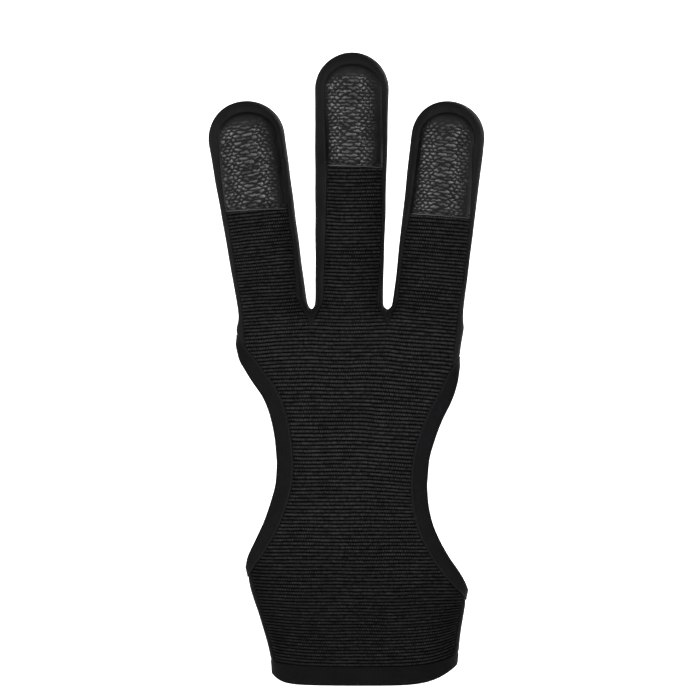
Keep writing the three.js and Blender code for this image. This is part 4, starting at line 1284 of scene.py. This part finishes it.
class GLOVE_OT_stage(Operator):
    """Make the floor with its backdrop, the soft lights and the camera"""

    bl_idname = "glove.stage"
    bl_label = "Stage"

    def execute(self, context):
        look = context.scene.glove_stage
        bpy.ops.object.select_all(action="DESELECT")
        bpy.ops.mesh.primitive_cylinder_add(vertices=96, radius=STAGE_RADIUS, depth=STAGE_HEIGHT,
                                            end_fill_type="NGON", location=(0, 0, STAGE_HEIGHT / 2 - look.drop))
        floor = context.object
        floor.name = "floor_and_backdrop"
        bpy.ops.object.transform_apply(location=True, rotation=True, scale=True)
        bpy.ops.object.mode_set(mode="EDIT")
        mesh = bmesh.from_edit_mesh(floor.data)
        for face in mesh.faces:
            face.select_set(face.normal.z > 0.9)
        bmesh.update_edit_mesh(floor.data)
        bpy.ops.mesh.delete(type="FACE")
        mesh = bmesh.from_edit_mesh(floor.data)
        for edge in mesh.edges:
            edge.select_set(all(v.co.z < 0.001 - look.drop for v in edge.verts))
        bmesh.update_edit_mesh(floor.data)
        bpy.ops.mesh.bevel(offset=STAGE_CURVE, segments=16)
        bpy.ops.mesh.select_all(action="SELECT")
        bpy.ops.mesh.flip_normals()
        bpy.ops.object.mode_set(mode="OBJECT")
        wall = floor.modifiers.new("wall", "SOLIDIFY")
        wall.thickness, wall.offset = STAGE_WALL, -1
        bpy.ops.object.modifier_apply(modifier=wall.name)
        bpy.ops.object.shade_smooth_by_angle(angle=math.radians(40))
        paper = Finish("pale_paper", Specular_IOR_Level=0.1, Emission_Strength=1.0)
        cloud = paper.grain(0.05, 2.0)
        dark, light = shades(look.color, 0.985, 1.0)
        fine = paper.grain(0.002, 2.0)
        x, y = (paper.node("ShaderNodeSeparateXYZ", None, {0: paper.place()}, k) for k in "XY")
        glow = paper.mix(paper.range(x * x + y * y, GLOW_FROM, GLOW_FULL), (GLOW_NEAR,) * 3, (look.glow,) * 3)
        paper.drive("Emission Color", glow)
        floor.data.materials.append(
            paper.surface(paper.mix(cloud, dark, light), paper.range(cloud, 0, 1, 0.85, 0.95), fine, 0.05, 0.0002))

        for name, place, width, height, setting, share in SOFTBOXES:
            add_softbox(name, place, width, height, getattr(look, setting) * share)
        world = bpy.data.worlds.new("studio")
        world.use_nodes = True
        world.node_tree.nodes["Background"].inputs["Color"].default_value = (1, 1, 1, 1)
        world.node_tree.nodes["Background"].inputs["Strength"].default_value = look.sky
        context.scene.world = world
        context.scene.view_settings.view_transform = "Standard"
        context.scene.view_settings.look = "None"

        bpy.ops.object.camera_add(location=(-0.0042, -CAMERA_AWAY, 0.1008), rotation=(math.pi / 2, 0, 0))
        camera = context.object
        camera.name = "photo_view"
        camera.data.sensor_width = FILM_WIDTH
        camera.data.lens = FILM_WIDTH * CAMERA_AWAY / PICTURE_WIDTH
        camera.data.clip_start = 0.05
        context.scene.camera = camera
        return {"FINISHED"}


class GLOVE_PT_panel(Panel):
    bl_idname = "GLOVE_PT_panel"
    bl_label = "Archery glove"
    bl_space_type = "VIEW_3D"
    bl_region_type = "UI"
    bl_category = "Glove"

    def draw(self, context):
        for group, label, operators in PANEL_ROWS:
            box = self.layout.box()
            box.label(text=label)
            settings = getattr(context.scene, group)
            for key in settings.__annotations__:
                box.prop(settings, key)
            for operator in operators:
                box.operator(operator.bl_idname)


PANEL_ROWS = (
    ("glove_stage", "Stage", (GLOVE_OT_stage,)),
    ("glove_knit", "Palm cloth", (GLOVE_OT_palm_panel,)),
    ("glove_jersey", "Back cloth", (GLOVE_OT_back_panel,)),
    ("glove_leather", "Leather", (GLOVE_OT_tip_pads,)),
    ("glove_tape", "Tapes", (GLOVE_OT_bindings, GLOVE_OT_wrist_hem)),
)
SETTINGS = {
    "glove_stage": GloveStage,
    "glove_knit": GloveKnit,
    "glove_jersey": GloveJersey,
    "glove_leather": GloveLeather,
    "glove_tape": GloveTape,
}
OPERATORS = (GLOVE_OT_stage, GLOVE_OT_palm_panel, GLOVE_OT_back_panel, GLOVE_OT_tip_pads, GLOVE_OT_bindings,
             GLOVE_OT_wrist_hem)


def register():
    for cls in (*SETTINGS.values(), *OPERATORS, GLOVE_PT_panel):
        bpy.utils.register_class(cls)
    for name, group in SETTINGS.items():
        setattr(bpy.types.Scene, name, PointerProperty(type=group))


def unregister():
    for name in SETTINGS:
        delattr(bpy.types.Scene, name)
    for cls in reversed((*SETTINGS.values(), *OPERATORS, GLOVE_PT_panel)):
        bpy.utils.unregister_class(cls)


def main():
    register()
    bpy.ops.glove.stage()
    bpy.ops.glove.palm_panel()
    bpy.ops.glove.back_panel()
    bpy.ops.glove.tip_pads()
    bpy.ops.glove.bindings()
    bpy.ops.glove.wrist_hem()


if __name__ == "__main__":
    main()
